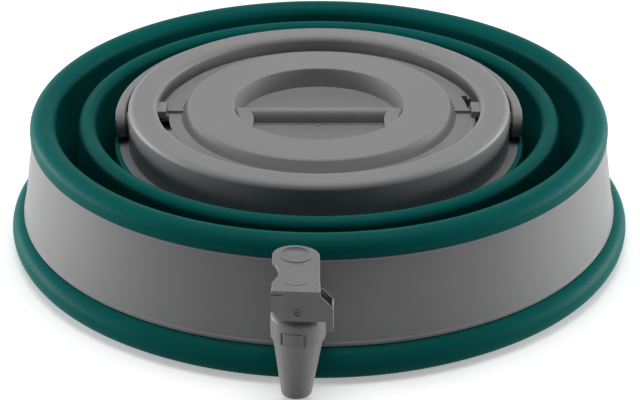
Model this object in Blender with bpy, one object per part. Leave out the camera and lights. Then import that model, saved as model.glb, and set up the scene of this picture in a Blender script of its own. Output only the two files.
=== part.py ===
"""Collapsible water carrier with a folding wall, a bayonet lid, a bail handle and a push tap.

It is modelled pushed flat, standing on z = 0 with the vessel's axis on the Z axis, in metres.
The handle's pivots lie along X, the tap looks out along -Y, turned a little to the left.
"""

import math

import bmesh
import bpy
from mathutils import Matrix, Vector

# Running and seating clearances
GAP = 0.0003  # between pieces that touch on the real carrier
PIVOT_GAP = 0.0003  # all round a pin in its hole
OVERRUN = 0.001  # how far a cutter or a joined shape runs past a face
MERGE = 1e-7  # closer points than this are one point

# Counts
BIG_STEPS = 40
SMALL_STEPS = 24
PIN_STEPS = 16
ARC_STEPS = 6
SECTOR_STEPS = 4

# Foot ring
RING_R = 0.150
RING_HEIGHT = 0.0146
RING_ROUND = 0.0073
RING_DEPTH = 0.0156  # from its outside in to the foot wall

# Pan: floor and slanted band
FLOOR_THICK = 0.0032
FLOOR_RELIEF = 0.0012
FOOT_WALL_R = RING_R - RING_DEPTH
FOOT_WALL_Z = 0.003
FLOOR_RIM = 0.0084
FLOOR_RIM_R = FOOT_WALL_R - FLOOR_RIM
FLOOR_PAD_R = 0.060
FOOT_LEAN = 0.0031
LEDGE_R = FOOT_WALL_R + FOOT_LEAN
BAND_LOW_Z = RING_HEIGHT + GAP
LEDGE_WIDTH = 0.0056
BAND_LOW_R = LEDGE_R + LEDGE_WIDTH
BAND_LIP = 0.0015
BAND_HEIGHT = 0.0402
BAND_TOP_Z = BAND_LOW_Z + BAND_HEIGHT
BAND_LEAN = 0.0057
BAND_TOP_R = BAND_LOW_R - BAND_LEAN
BAND_WALL = 0.0026

# Folding wall, from the outer crest in to the neck
WALL = 0.0018
CREST_INSET = 0.0054
CREST_R = BAND_TOP_R - CREST_INSET
CREST_RISE = 0.003
CREST_Z = BAND_TOP_Z + CREST_RISE
CREST_ROUND = 0.0061
CREST_WALL = 0.0024
CREST_LEG = 0.0036
CREST_LEG_Z = CREST_Z - CREST_LEG
LAP_DEPTH = 0.0071
LAP_Z = BAND_TOP_Z - LAP_DEPTH
LAP_WALL = 0.0018
OUTER_FOLD_WIDTH = 0.0129
VALLEY_R = CREST_R - OUTER_FOLD_WIDTH
VALLEY_Z = 0.0135
VALLEY_ROUND = 0.0019
VALLEY_LEG = 0.0035
VALLEY_LEG_Z = VALLEY_Z + VALLEY_LEG
MIDDLE_FOLD_WIDTH = 0.0081
INNER_CREST_R = VALLEY_R - MIDDLE_FOLD_WIDTH
INNER_CREST_DROP = 0.0007
INNER_CREST_Z = CREST_Z - INNER_CREST_DROP
INNER_CREST_ROUND = 0.004
INNER_CREST_LEG = 0.0034
INNER_LEG_Z = INNER_CREST_Z - INNER_CREST_LEG
INNER_FOLD_WIDTH = 0.0095
NECK_VALLEY_R = INNER_CREST_R - INNER_FOLD_WIDTH

# Neck ring
NECK_FOLD_WIDTH = 0.0033
FLANGE_R = NECK_VALLEY_R - NECK_FOLD_WIDTH
FLANGE_WIDTH = 0.0068
NECK_R = FLANGE_R - FLANGE_WIDTH
NECK_TOP_Z = 0.067
NECK_EDGE = 0.0028
NECK_EDGE_SHARE = 0.3
NECK_WALL = 0.0025
COLLAR_WIDTH = 0.014
MOUTH_R = NECK_R - COLLAR_WIDTH
MOUTH_DEPTH = 0.0068
BAYONET_TOP_Z = NECK_TOP_Z - MOUTH_DEPTH
BAYONET_WIDTH = 0.0072
BAYONET_R = MOUTH_R - BAYONET_WIDTH
BAYONET_THICK = 0.0026
POCKET_INSET = 0.0015
POCKET_R = MOUTH_R - POCKET_INSET
POCKET_DEPTH = 0.0063
POCKET_FLOOR_Z = BAYONET_TOP_Z - POCKET_DEPTH
SEAL_LAND_HEIGHT = 0.0079
SEAL_LAND_Z = POCKET_FLOOR_Z - SEAL_LAND_HEIGHT
SEAL_LAND_WALL = 0.0024
COLLAR_HEIGHT = 0.0203
FLANGE_TOP_Z = NECK_TOP_Z - COLLAR_HEIGHT
FLANGE_THICK = 0.003
TAB_DEPTH = 0.0031
TAB_WIDTH = 0.0036
TAB_HEIGHT = 0.0045
TAB_SET_BACK = 0.0003
SLOT_START = math.radians(1.0)
SLOT_LENGTH = math.radians(17.5)
STOP_START = math.radians(19.0)
STOP_LENGTH = math.radians(2.5)

# Lid, set inside the mouth and its bayonet ledge
LID_SINK = 0.0014
LID_TOP_Z = NECK_TOP_Z - LID_SINK
LID_RIM_WIDTH = 0.0043
LID_FOOT_R = BAYONET_R - LID_RIM_WIDTH
LID_LEAN = 0.0023
LID_TOP_R = LID_FOOT_R - LID_LEAN
LID_RIM_GAP = 0.0004
LID_RIM_THICK = 0.0024
LID_WALL = 0.0025
RECESS_SHARE = 0.645  # of the lid's top radius
RECESS_R = LID_TOP_R * RECESS_SHARE
RECESS_LEAN = 0.005
RECESS_FLOOR_R = RECESS_R - RECESS_LEAN
RECESS_DEPTH = 0.0086
RECESS_FLOOR_Z = LID_TOP_Z - RECESS_DEPTH
SKIRT_INSET = 0.0034
SKIRT_R = BAYONET_R - SKIRT_INSET
SKIRT_WALL = 0.0024
SKIRT_DROP = 0.0005
SKIRT_LOW_Z = SEAL_LAND_Z - SKIRT_DROP
GROOVE_FLANGE = 0.0015
GROOVE_FLANGE_GAP = 0.0008
SEAL_HEIGHT = 0.003
SEAL_EDGE = 0.0008
LUG_CLEARANCE = 0.0014
LUG_R = POCKET_R - LUG_CLEARANCE
LUG_THICK = 0.003
LUG_LENGTH = math.radians(17.0)
BAR_SINK = 0.0031
BAR_TOP_Z = LID_TOP_Z - BAR_SINK
BAR_HALF = 0.0037
BAR_END_INSET = 0.0016
BAR_END_R = RECESS_R - BAR_END_INSET
BAR_EDGE = 0.0012
GUSSET_X_SHARE = 0.787  # of the bar's end radius
GUSSET_Y_SHARE = 0.538
RIB_HEIGHT = 0.0013
RIB_WIDTH = 0.0012
RIB_END_R = LUG_R

# Handle, round the neck ring
HANDLE_STAND_OFF = 0.006
HANDLE_R = NECK_R + HANDLE_STAND_OFF
HANDLE_THICK = 0.0046
HANDLE_HALF = 0.0075
HANDLE_DROP = 0.0115
HANDLE_AXIS_Z = NECK_TOP_Z - HANDLE_DROP
HANDLE_STEPS = 36
HANDLE_END_STEPS = 4
HANDLE_END_SHARE = 0.96
STUD_R = 0.003
STUD_REACH = 0.0029
STUD_COLLAR_WIDTH = 0.002
STUD_COLLAR_R = STUD_R + STUD_COLLAR_WIDTH

# Tap, in a frame turned about the vessel's axis; distances out are from that axis
TAP_TURN = math.radians(-3.1)
PAD_PROUD = 0.0001
PAD_OUT = BAND_LOW_R + PAD_PROUD
PAD_DEPTH = 0.0082
PAD_IN = PAD_OUT - PAD_DEPTH
TAP_REACH = 0.0188
SPOUT_OUT = PAD_OUT + TAP_REACH
SPOUT_LOW_Z = 0.004
SPOUT_TIP_R = 0.0064
SPOUT_TOP_R = 0.011
SPOUT_TOP_Z = 0.0377
SPOUT_EDGE = 0.0009
SPOUT_NECK_STEP = 0.0012
SPOUT_NECK_R = SPOUT_TOP_R - SPOUT_NECK_STEP
SPOUT_NECK_HEIGHT = 0.004
SPOUT_NECK_Z = SPOUT_TOP_Z + SPOUT_NECK_HEIGHT
SPOUT_TIP_WALL = 0.0014
OUTLET_R = SPOUT_TIP_R - SPOUT_TIP_WALL
CHAMBER_WALL = 0.0023
CHAMBER_R = SPOUT_NECK_R - CHAMBER_WALL
SHANK_DROP = 0.0077
SHANK_Z = SPOUT_TOP_Z - SHANK_DROP
SHANK_R = 0.0073
SHANK_WALL = 0.0027
SHANK_BORE_R = SHANK_R - SHANK_WALL
SHANK_REACH = 0.0074
SHANK_END = PAD_IN - SHANK_REACH
SEAT_WIDTH = 0.0018
SEAT_R = OUTLET_R - SEAT_WIDTH
SEAT_DROP = 0.0078
SEAT_Z = SHANK_Z - SEAT_DROP
SEAT_THICK = 0.0022
TAP_FLANGE_WIDTH = 0.0042
TAP_FLANGE_R = SHANK_R + TAP_FLANGE_WIDTH
TAP_FLANGE_THICK = 0.003
GASKET_THICK = 0.002
GASKET_EDGE = 0.0002
NUT_INSET = 0.0005
NUT_ACROSS = 2 * (TAP_FLANGE_R - NUT_INSET)
NUT_THICK = 0.0045
STEM_R = 0.0016
STEM_HEAD_WIDTH = 0.002
STEM_HEAD_R = STEM_R + STEM_HEAD_WIDTH
STEM_HEAD_GAP = 0.0004
STEM_KNOB_WIDTH = 0.001
STEM_KNOB_R = STEM_R + STEM_KNOB_WIDTH
STEM_KNOB = 0.0016
VALVE_SEAL_GAP = 0.0005
VALVE_SEAL_R = OUTLET_R - VALVE_SEAL_GAP
VALVE_SEAL_THICK = 0.0019
SPRING_STAND_OFF = 0.0011
SPRING_R = STEM_R + SPRING_STAND_OFF
SPRING_WIRE_R = 0.0004
SPRING_CURLS = 5
CURL_POINTS = 8
BONNET_PROUD = 0.0006
BONNET_R = SPOUT_TOP_R + BONNET_PROUD
BONNET_HEIGHT = 0.0067
BONNET_TOP_Z = SPOUT_TOP_Z + BONNET_HEIGHT
BONNET_PLATE = 0.0024
RING_POCKET_WIDTH = 0.0023
RING_POCKET_R = STEM_R + RING_POCKET_WIDTH
RING_POCKET_WALL = 0.0013
PIVOT_OFFSET = 0.0075
PIVOT_OUT = SPOUT_OUT + PIVOT_OFFSET
PIVOT_RISE = 0.0096
PIVOT_Z = BONNET_TOP_Z + PIVOT_RISE
EAR_CLEARANCE = 0.001
EAR_X = STEM_HEAD_R + EAR_CLEARANCE
EAR_THICK = 0.0022
EAR_HALF = 0.0025
PIN_R = 0.0012

# Lever, round its pivot
LEVER_NOSE = 0.0058
LEVER_FRONT = PIVOT_OUT + LEVER_NOSE
LEVER_RISE = 0.0062
LEVER_TOP_Z = PIVOT_Z + LEVER_RISE
LEVER_SLOPE = math.radians(12)
LEVER_LENGTH = 0.0298
LEVER_HALF = 0.010
LEVER_THICK = 0.0021
LEVER_END = 0.0065
BOX_PROUD = 0.0004
BOX_HALF = LEVER_HALF + BOX_PROUD
BOX_DROP = 0.0081
BOX_LOW_Z = PIVOT_Z - BOX_DROP
BOX_WALL = 0.0018
PIN_HALF = BOX_HALF - BOX_WALL / 3
CHEEK_REACH = 0.0027
CHEEK_BACK = PIVOT_OUT - CHEEK_REACH
CHEEK_DROP = 0.0035
CHEEK_LOW_Z = PIVOT_Z - CHEEK_DROP
CHAMFER_X = 0.0038
WING_REACH = 0.0008
WING_BACK = PIVOT_OUT - WING_REACH
WING_WIDTH = 0.005
WING_R = BOX_HALF + WING_WIDTH
SHOULDER_DROP = 0.0015
WING_SHOULDER_Z = PIVOT_Z - SHOULDER_DROP
WING_RISE = 0.0041
WING_TOP_Z = PIVOT_Z + WING_RISE
WING_TAB = 0.0031
WING_TAB_DROP = 0.0046
WING_TAB_LOW_Z = BOX_LOW_Z - WING_TAB_DROP
DISH_SHARE = 0.72
DISH_DEPTH = 0.0007
NOTCH_DEPTH = 0.0028
NOTCH_SHARES = [
    (0.00, 0.19),
    (0.14, 0.25),
    (0.60, 0.35),
    (0.93, 0.42),
    (1.00, 0.50),
    (0.79, 0.56),
    (0.21, 0.62),
    (0.00, 0.65),
]

GREY = (0.21, 0.21, 0.215)
GREEN = (0.004, 0.105, 0.095)
BLACK = (0.02, 0.02, 0.02)
STEEL = (0.55, 0.55, 0.56)

FULL_TURN = 2 * math.pi
QUARTER = math.pi / 2


def clear_scene():
    for old in list(bpy.data.objects):
        bpy.data.objects.remove(old, do_unlink=True)


def make_material(name, colour, roughness, metallic=0.0):
    made = bpy.data.materials.new(name)
    made.use_nodes = True
    shader = made.node_tree.nodes["Principled BSDF"]
    shader.inputs["Base Color"].default_value = (*colour, 1)
    shader.inputs["Roughness"].default_value = roughness
    shader.inputs["Metallic"].default_value = metallic
    made.diffuse_color = (*colour, 1)
    return made


def make_frame(name, parent=None, turn=0.0):
    """An empty that carries the pieces of one group."""
    frame = bpy.data.objects.new(name, None)
    bpy.context.collection.objects.link(frame)
    frame.parent = parent
    frame.rotation_euler = (0, 0, turn)
    return frame


def make_object(name, bm, parent, finish=None, origin=(0, 0, 0)):
    """Turns a bmesh, drawn in its parent's frame, into an object whose origin is at origin."""
    bmesh.ops.translate(bm, verts=bm.verts, vec=-Vector(origin))
    bmesh.ops.recalc_face_normals(bm, faces=bm.faces)
    mesh = bpy.data.meshes.new(name)
    bm.to_mesh(mesh)
    bm.free()
    mesh.shade_smooth()
    mesh.set_sharp_from_angle(angle=math.radians(35))
    made = bpy.data.objects.new(name, mesh)
    bpy.context.collection.objects.link(made)
    made.parent = parent
    made.location = origin
    if finish:
        mesh.materials.append(finish)
    return made


def combine(target, name, bm, operation):
    """Cuts a hidden shape from target, or joins it on. The shape is drawn in target's parent's frame."""
    shape = make_object(name, bm, target.parent)
    shape.hide_render = True
    shape.display_type = "WIRE"
    step = target.modifiers.new(name, "BOOLEAN")
    step.operation = operation
    step.solver = "EXACT"
    step.object = shape
    return shape


def cut(target, name, bm):
    return combine(target, name, bm, "DIFFERENCE")


def join(target, name, bm):
    return combine(target, name, bm, "UNION")


def turned(outline, steps=BIG_STEPS):
    """A solid of revolution about Z from (radius, height) points, closed or from axis to axis."""
    bm = bmesh.new()
    points = [bm.verts.new((r, 0, z)) for r, z in outline]
    edges = [bm.edges.new(pair) for pair in zip(points, points[1:])]
    if outline[0][0] > 0 or outline[-1][0] > 0:
        edges.append(bm.edges.new((points[-1], points[0])))
    bmesh.ops.spin(
        bm,
        geom=points + edges,
        cent=(0, 0, 0),
        axis=(0, 0, 1),
        angle=FULL_TURN,
        steps=steps,
        use_merge=True,
    )
    bmesh.ops.remove_doubles(bm, verts=bm.verts, dist=MERGE)
    return bm


def prism(outline, low, high):
    """A plate with the given (x, y) outline, from height low to high."""
    bm = bmesh.new()
    face = bm.faces.new([bm.verts.new((x, y, low)) for x, y in outline])
    grown = bmesh.ops.extrude_face_region(bm, geom=[face])
    lifted = [item for item in grown["geom"] if isinstance(item, bmesh.types.BMVert)]
    bmesh.ops.translate(bm, verts=lifted, vec=(0, 0, high - low))
    return bm


def block(low, high):
    """A box between two corners."""
    outline = [(low[0], low[1]), (high[0], low[1]), (high[0], high[1]), (low[0], high[1])]
    return prism(outline, low[2], high[2])


def moved(bm, matrix):
    bmesh.ops.transform(bm, matrix=matrix, verts=bm.verts)
    return bm


def round_edges(bm, chosen, width, segments=2):
    bmesh.ops.bevel(
        bm, geom=chosen, offset=width, segments=segments, profile=0.5, affect="EDGES", material=-1
    )
    return bm


def arc(centre, radius, start, stop, steps):
    """Points of an arc in a (radius, height) outline, from angle start to stop."""
    cr, cz = centre
    angles = [start + (stop - start) * i / steps for i in range(steps + 1)]
    return [(cr + radius * math.cos(a), cz + radius * math.sin(a)) for a in angles]


def sector(inner, outer, low, high, start, length):
    """A stretch of a flat ring between two radii."""
    angles = [start + length * i / SECTOR_STEPS for i in range(SECTOR_STEPS + 1)]
    outline = [(outer * math.cos(a), outer * math.sin(a)) for a in angles]
    outline += [(inner * math.cos(a), inner * math.sin(a)) for a in reversed(angles)]
    return prism(outline, low, high)


def half_turn(bm):
    """The same shape on the other side of the vessel's axis."""
    return moved(bm, Matrix.Rotation(math.pi, 4, "Z"))


def along_x(bm, height, side=1):
    """Lays a shape turned about Z along +X or -X, at a height."""
    return moved(bm, Matrix.Translation((0, 0, height)) @ Matrix.Rotation(side * QUARTER, 4, "Y"))


def outwards(bm, height):
    """Lays a shape turned about Z along -Y, at a height, half a step round so that no two ridges meet."""
    lay = Matrix.Translation((0, 0, height)) @ Matrix.Rotation(QUARTER, 4, "X")
    return moved(bm, lay @ Matrix.Rotation(math.pi / SMALL_STEPS, 4, "Z"))


def at_spout(bm):
    return moved(bm, Matrix.Translation((0, -SPOUT_OUT, 0)))


def tube(inner, outer, low, high):
    return [(inner, low), (outer, low), (outer, high), (inner, high)]


def rod(radius, low, high):
    return [(0, low), (radius, low), (radius, high), (0, high)]


def band_r(height):
    """Outer radius of the slanted band at a height."""
    share = (height - BAND_LOW_Z) / (BAND_TOP_Z - BAND_LOW_Z)
    return BAND_LOW_R + (BAND_TOP_R - BAND_LOW_R) * share


def make_foot_ring(parent, finish):
    round_r = RING_R - RING_ROUND
    outline = [(FOOT_WALL_R + GAP, 0), (round_r, 0)]
    outline += arc((round_r, RING_ROUND), RING_ROUND, -QUARTER, QUARTER, ARC_STEPS)[1:]
    outline += [(LEDGE_R + GAP, RING_HEIGHT), (FOOT_WALL_R + GAP, FOOT_WALL_Z)]
    return make_object("foot_ring", turned(outline), parent, finish)


def make_pan(parent, finish):
    lip_top = BAND_LOW_Z + BAND_LIP
    shelf_z = BAND_LOW_Z + BAND_WALL
    inner_foot = FOOT_WALL_R - BAND_WALL
    outline = [
        (0, 0),
        (FLOOR_PAD_R, 0),
        (FLOOR_PAD_R + FLOOR_RELIEF, FLOOR_RELIEF),
        (FLOOR_RIM_R - FLOOR_RELIEF, FLOOR_RELIEF),
        (FLOOR_RIM_R, 0),
        (FOOT_WALL_R, 0),
        (FOOT_WALL_R, FOOT_WALL_Z),
        (LEDGE_R, BAND_LOW_Z),
        (BAND_LOW_R, BAND_LOW_Z),
        (BAND_LOW_R, lip_top),
        (band_r(shelf_z), shelf_z),
        (BAND_TOP_R, BAND_TOP_Z),
        (BAND_TOP_R - BAND_WALL, BAND_TOP_Z),
        (band_r(shelf_z) - BAND_WALL, shelf_z),
        (LEDGE_R - BAND_WALL, BAND_LOW_Z),
        (inner_foot, FLOOR_THICK + BAND_LIP),
        (inner_foot - BAND_WALL, FLOOR_THICK),
        (0, FLOOR_THICK),
    ]
    pan = make_object("pan", turned(outline), parent, finish)
    pad = turned(rod(TAP_FLANGE_R, PAD_IN, PAD_OUT), SMALL_STEPS)
    hole = turned(rod(SHANK_R + GAP, PAD_IN - OVERRUN, PAD_OUT + OVERRUN), SMALL_STEPS)
    turn = Matrix.Rotation(TAP_TURN, 4, "Z")
    join(pan, "pan_tap_pad", moved(outwards(pad, SHANK_Z), turn))
    cut(pan, "pan_tap_hole", moved(outwards(hole, SHANK_Z), turn))
    return pan


def make_outer_fold(parent, finish):
    centre = (CREST_R, CREST_Z)
    inner_round = CREST_ROUND - CREST_WALL
    seat_z = BAND_TOP_Z + GAP
    lap_top_r = BAND_TOP_R - BAND_WALL - GAP
    lap_low_r = band_r(LAP_Z) - BAND_WALL - GAP
    outline = [(CREST_R + CREST_ROUND, seat_z)]
    outline += arc(centre, CREST_ROUND, 0, math.pi, ARC_STEPS)
    outline += [(CREST_R - CREST_ROUND, CREST_LEG_Z), (CREST_R - inner_round, CREST_LEG_Z)]
    outline += arc(centre, inner_round, math.pi, 0, ARC_STEPS - 2)
    outline += [
        (lap_top_r - LAP_WALL, seat_z - LAP_WALL),
        (lap_low_r - LAP_WALL, LAP_Z),
        (lap_low_r, LAP_Z),
        (lap_top_r, seat_z),
    ]
    return make_object("outer_fold", turned(outline), parent, finish)


def fold_wall(name, top_r, top_z, low_r, low_z, parent, finish):
    """A plain slanted wall between two fold lines, a wall thick."""
    half = WALL / 2
    outline = [(low_r - half, low_z), (low_r + half, low_z)]
    outline += [(top_r + half, top_z), (top_r - half, top_z)]
    return make_object(name, turned(outline), parent, finish)


def valley(radius):
    """Outline of a fold's low bend, from its outer leg's top round to the foot of the next wall."""
    thick = WALL / 2
    centre = (radius, VALLEY_Z)
    outer = arc(centre, VALLEY_ROUND + thick, 0, -math.pi, ARC_STEPS - 3)
    inner = arc(centre, VALLEY_ROUND - thick, -math.pi, 0, ARC_STEPS - 4)
    leg = radius + VALLEY_ROUND
    return [(leg - thick, VALLEY_LEG_Z), (leg + thick, VALLEY_LEG_Z)] + outer, inner


def make_middle_fold(parent, finish):
    inner_round = INNER_CREST_ROUND - WALL
    centre = (INNER_CREST_R, INNER_CREST_Z)
    outer_side, inner_side = valley(VALLEY_R)
    outline = outer_side
    outline += [(INNER_CREST_R + inner_round, INNER_CREST_Z)]
    outline += arc(centre, inner_round, 0, math.pi, ARC_STEPS - 3)[1:]
    outline += [
        (INNER_CREST_R - inner_round, INNER_LEG_Z),
        (INNER_CREST_R - INNER_CREST_ROUND, INNER_LEG_Z),
    ]
    outline += arc(centre, INNER_CREST_ROUND, math.pi, 0, ARC_STEPS - 1)
    outline += inner_side
    return make_object("middle_fold", turned(outline), parent, finish)


def make_neck_fold(parent, finish):
    outer_side, inner_side = valley(NECK_VALLEY_R)
    top_z = FLANGE_TOP_Z - FLANGE_THICK - GAP
    outline = outer_side + [(FLANGE_R - WALL, top_z), (FLANGE_R, top_z)] + inner_side
    return make_object("neck_fold", turned(outline), parent, finish)


def make_neck_ring(parent, finish):
    low_z = FLANGE_TOP_Z - FLANGE_THICK
    edge = NECK_EDGE * NECK_EDGE_SHARE
    roof_z = NECK_TOP_Z - NECK_WALL
    pocket_wall_r = MOUTH_R + NECK_WALL
    pocket_low_z = POCKET_FLOOR_Z - SEAL_LAND_WALL
    outline = [
        (FLANGE_R, low_z),
        (FLANGE_R, FLANGE_TOP_Z),
        (NECK_R, FLANGE_TOP_Z),
        (NECK_R, NECK_TOP_Z - NECK_EDGE),
        (NECK_R - edge, NECK_TOP_Z - edge),
        (NECK_R - NECK_EDGE, NECK_TOP_Z),
        (MOUTH_R + NECK_EDGE, NECK_TOP_Z),
        (MOUTH_R + edge, NECK_TOP_Z - edge),
        (MOUTH_R, NECK_TOP_Z - NECK_EDGE),
        (MOUTH_R, BAYONET_TOP_Z),
        (BAYONET_R, BAYONET_TOP_Z),
        (BAYONET_R, BAYONET_TOP_Z - BAYONET_THICK),
        (POCKET_R, BAYONET_TOP_Z - BAYONET_THICK),
        (POCKET_R, POCKET_FLOOR_Z),
        (BAYONET_R, POCKET_FLOOR_Z),
        (BAYONET_R, SEAL_LAND_Z),
        (BAYONET_R + SEAL_LAND_WALL, SEAL_LAND_Z),
        (BAYONET_R + SEAL_LAND_WALL, pocket_low_z),
        (pocket_wall_r, pocket_low_z),
        (pocket_wall_r, roof_z),
        (NECK_R - NECK_WALL, roof_z),
        (NECK_R - NECK_WALL, low_z),
    ]
    neck = make_object("neck_ring", turned(outline), parent, finish)
    tab_z = BAYONET_TOP_Z + GAP
    ledge_low_z = BAYONET_TOP_Z - BAYONET_THICK
    for side, shape_turn in (("right", lambda bm: bm), ("left", half_turn)):
        slot = sector(
            BAYONET_R - OVERRUN,
            POCKET_R,
            ledge_low_z - OVERRUN / 2,
            BAYONET_TOP_Z + OVERRUN / 2,
            SLOT_START,
            SLOT_LENGTH,
        )
        cut(neck, f"lid_slot_{side}", shape_turn(slot))
        stop = sector(
            BAYONET_R + OVERRUN / 2,
            POCKET_R + OVERRUN,
            POCKET_FLOOR_Z - OVERRUN,
            ledge_low_z + OVERRUN,
            STOP_START,
            STOP_LENGTH,
        )
        join(neck, f"lid_stop_{side}", shape_turn(stop))
        tab = block(
            (MOUTH_R - TAB_DEPTH, TAB_SET_BACK - TAB_WIDTH, tab_z),
            (MOUTH_R + OVERRUN, TAB_SET_BACK, tab_z + TAB_HEIGHT),
        )
        join(neck, f"lid_tab_{side}", shape_turn(tab))
        stud = turned(
            [
                (0, NECK_R - NECK_WALL / 2),
                (STUD_COLLAR_R, NECK_R - NECK_WALL / 2),
                (STUD_COLLAR_R, HANDLE_R - HANDLE_THICK - GAP),
                (STUD_R, HANDLE_R - HANDLE_THICK - GAP),
                (STUD_R, HANDLE_R - HANDLE_THICK + STUD_REACH),
                (0, HANDLE_R - HANDLE_THICK + STUD_REACH),
            ],
            PIN_STEPS,
        )
        join(neck, f"handle_stud_{side}", shape_turn(along_x(stud, HANDLE_AXIS_Z)))
    return neck


def make_lid(parent, finish):
    rim_r = BAYONET_R - LID_RIM_GAP
    rim_low_z = BAYONET_TOP_Z - LID_RIM_THICK
    flange_r = BAYONET_R - GROOVE_FLANGE_GAP
    groove_low_z = SKIRT_LOW_Z + GROOVE_FLANGE
    groove_top_z = groove_low_z + SEAL_HEIGHT + 2 * GAP
    skirt_in = SKIRT_R - SKIRT_WALL
    roof_z = LID_TOP_Z - LID_WALL
    floor_z = RECESS_FLOOR_Z - LID_WALL
    outline = [
        (0, RECESS_FLOOR_Z),
        (RECESS_FLOOR_R, RECESS_FLOOR_Z),
        (RECESS_R, LID_TOP_Z),
        (LID_TOP_R, LID_TOP_Z),
        (LID_FOOT_R, BAYONET_TOP_Z),
        (rim_r, BAYONET_TOP_Z),
        (rim_r, rim_low_z),
        (SKIRT_R, rim_low_z),
        (SKIRT_R, groove_top_z + GROOVE_FLANGE),
        (flange_r, groove_top_z + GROOVE_FLANGE),
        (flange_r, groove_top_z),
        (SKIRT_R, groove_top_z),
        (SKIRT_R, groove_low_z),
        (flange_r, groove_low_z),
        (flange_r, SKIRT_LOW_Z),
        (skirt_in, SKIRT_LOW_Z),
        (skirt_in, BAYONET_TOP_Z),
        (LID_TOP_R - LID_WALL / 2, roof_z),
        (RECESS_R + LID_WALL, roof_z),
        (RECESS_FLOOR_R + LID_WALL, floor_z),
        (0, floor_z),
    ]
    origin = (0, 0, RECESS_FLOOR_Z)
    lid = make_object("lid", turned(outline), parent, finish, origin)
    bar_low_z = RECESS_FLOOR_Z - LID_WALL / 2
    bar = block((-BAR_END_R, -BAR_HALF, bar_low_z), (BAR_END_R, BAR_HALF, BAR_TOP_Z))
    long_edges = [e for e in bar.edges if all(abs(v.co.z - BAR_TOP_Z) < MERGE for v in e.verts)]
    long_edges = [e for e in long_edges if abs(e.verts[0].co.y - e.verts[1].co.y) < MERGE]
    join(lid, "lid_bar", round_edges(bar, long_edges, BAR_EDGE))
    for side in (-1, 1):
        join(lid, f"lid_gusset_{side}", gusset(side, bar_low_z))
    lug_top_z = BAYONET_TOP_Z - BAYONET_THICK - GAP
    for side, shape_turn in (("right", lambda bm: bm), ("left", half_turn)):
        lug = sector(
            SKIRT_R - SKIRT_WALL / 2, LUG_R, lug_top_z - LUG_THICK, lug_top_z, -LUG_LENGTH, LUG_LENGTH
        )
        join(lid, f"lid_lug_{side}", shape_turn(lug))
        rib_y = TAB_SET_BACK + GAP
        rib = block(
            (LID_FOOT_R - OVERRUN, rib_y, BAYONET_TOP_Z + GAP),
            (RIB_END_R, rib_y + RIB_WIDTH, BAYONET_TOP_Z + RIB_HEIGHT),
        )
        join(lid, f"lid_rib_{side}", shape_turn(rib))
    return lid


def gusset(side, low_z):
    """The raised end of the grip pocket, between the bar and the recess wall, on the front side."""
    wall_angle = math.asin(GUSSET_Y_SHARE)
    angles = [-wall_angle * i / SECTOR_STEPS for i in range(SECTOR_STEPS + 1)]
    outline = [(BAR_END_R * math.cos(a), BAR_END_R * math.sin(a)) for a in angles]
    gusset_x = BAR_END_R * GUSSET_X_SHARE
    outline += [(gusset_x, -BAR_END_R * GUSSET_Y_SHARE), (gusset_x, 0)]
    return prism([(side * x, y) for x, y in outline], low_z, BAR_TOP_Z - GAP)


def make_lid_seal(parent, finish):
    inner = SKIRT_R + GAP
    outer = BAYONET_R - GAP
    low = SKIRT_LOW_Z + GROOVE_FLANGE + GAP
    high = low + SEAL_HEIGHT
    outline = [
        (inner, low),
        (outer - SEAL_EDGE, low),
        (outer, low + SEAL_EDGE),
        (outer, high - SEAL_EDGE),
        (outer - SEAL_EDGE, high),
        (inner, high),
    ]
    return make_object("lid_seal", turned(outline), parent, finish, (0, 0, low))


def handle_stations():
    """Middle, outward direction and half height of the strap, from one rounded end to the other."""
    middle_r = HANDLE_R - HANDLE_THICK / 2
    reach = HANDLE_HALF * HANDLE_END_SHARE
    past = [reach * math.sin(QUARTER * (i + 1) / HANDLE_END_STEPS) for i in range(HANDLE_END_STEPS)]
    right = [
        (Vector((middle_r, -y, 0)), Vector((1, 0, 0)), math.sqrt(HANDLE_HALF**2 - y**2))
        for y in reversed(past)
    ]
    round_back = []
    for i in range(HANDLE_STEPS + 1):
        angle = math.pi * i / HANDLE_STEPS
        way = Vector((math.cos(angle), math.sin(angle), 0))
        round_back.append((way * middle_r, way, HANDLE_HALF))
    left = [(Vector((-p.x, p.y, 0)), -way, half) for p, way, half in reversed(right)]
    return right + round_back + left


def make_handle(parent, finish):
    half_thick = HANDLE_THICK / 2
    bm = bmesh.new()
    rings = []
    for middle, way, half in handle_stations():
        corners = [(half_thick, -half), (half_thick, half), (-half_thick, half), (-half_thick, -half)]
        rings.append([bm.verts.new(middle + way * out + Vector((0, 0, up))) for out, up in corners])
    for here, there in zip(rings, rings[1:]):
        for i in range(len(here)):
            j = (i + 1) % len(here)
            bm.faces.new((here[i], here[j], there[j], there[i]))
    bm.faces.new(rings[0])
    bm.faces.new(rings[-1])
    moved(bm, Matrix.Translation((0, 0, HANDLE_AXIS_Z)))
    handle = make_object("handle", bm, parent, finish, (0, 0, HANDLE_AXIS_Z))
    inner = HANDLE_R - HANDLE_THICK
    for side, shape_turn in (("right", lambda bm: bm), ("left", half_turn)):
        bore = rod(STUD_R + PIVOT_GAP, inner - OVERRUN, inner + STUD_REACH + GAP)
        hole = turned(bore, PIN_STEPS)
        cut(handle, f"handle_hole_{side}", shape_turn(along_x(hole, HANDLE_AXIS_Z)))
    return handle


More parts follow.
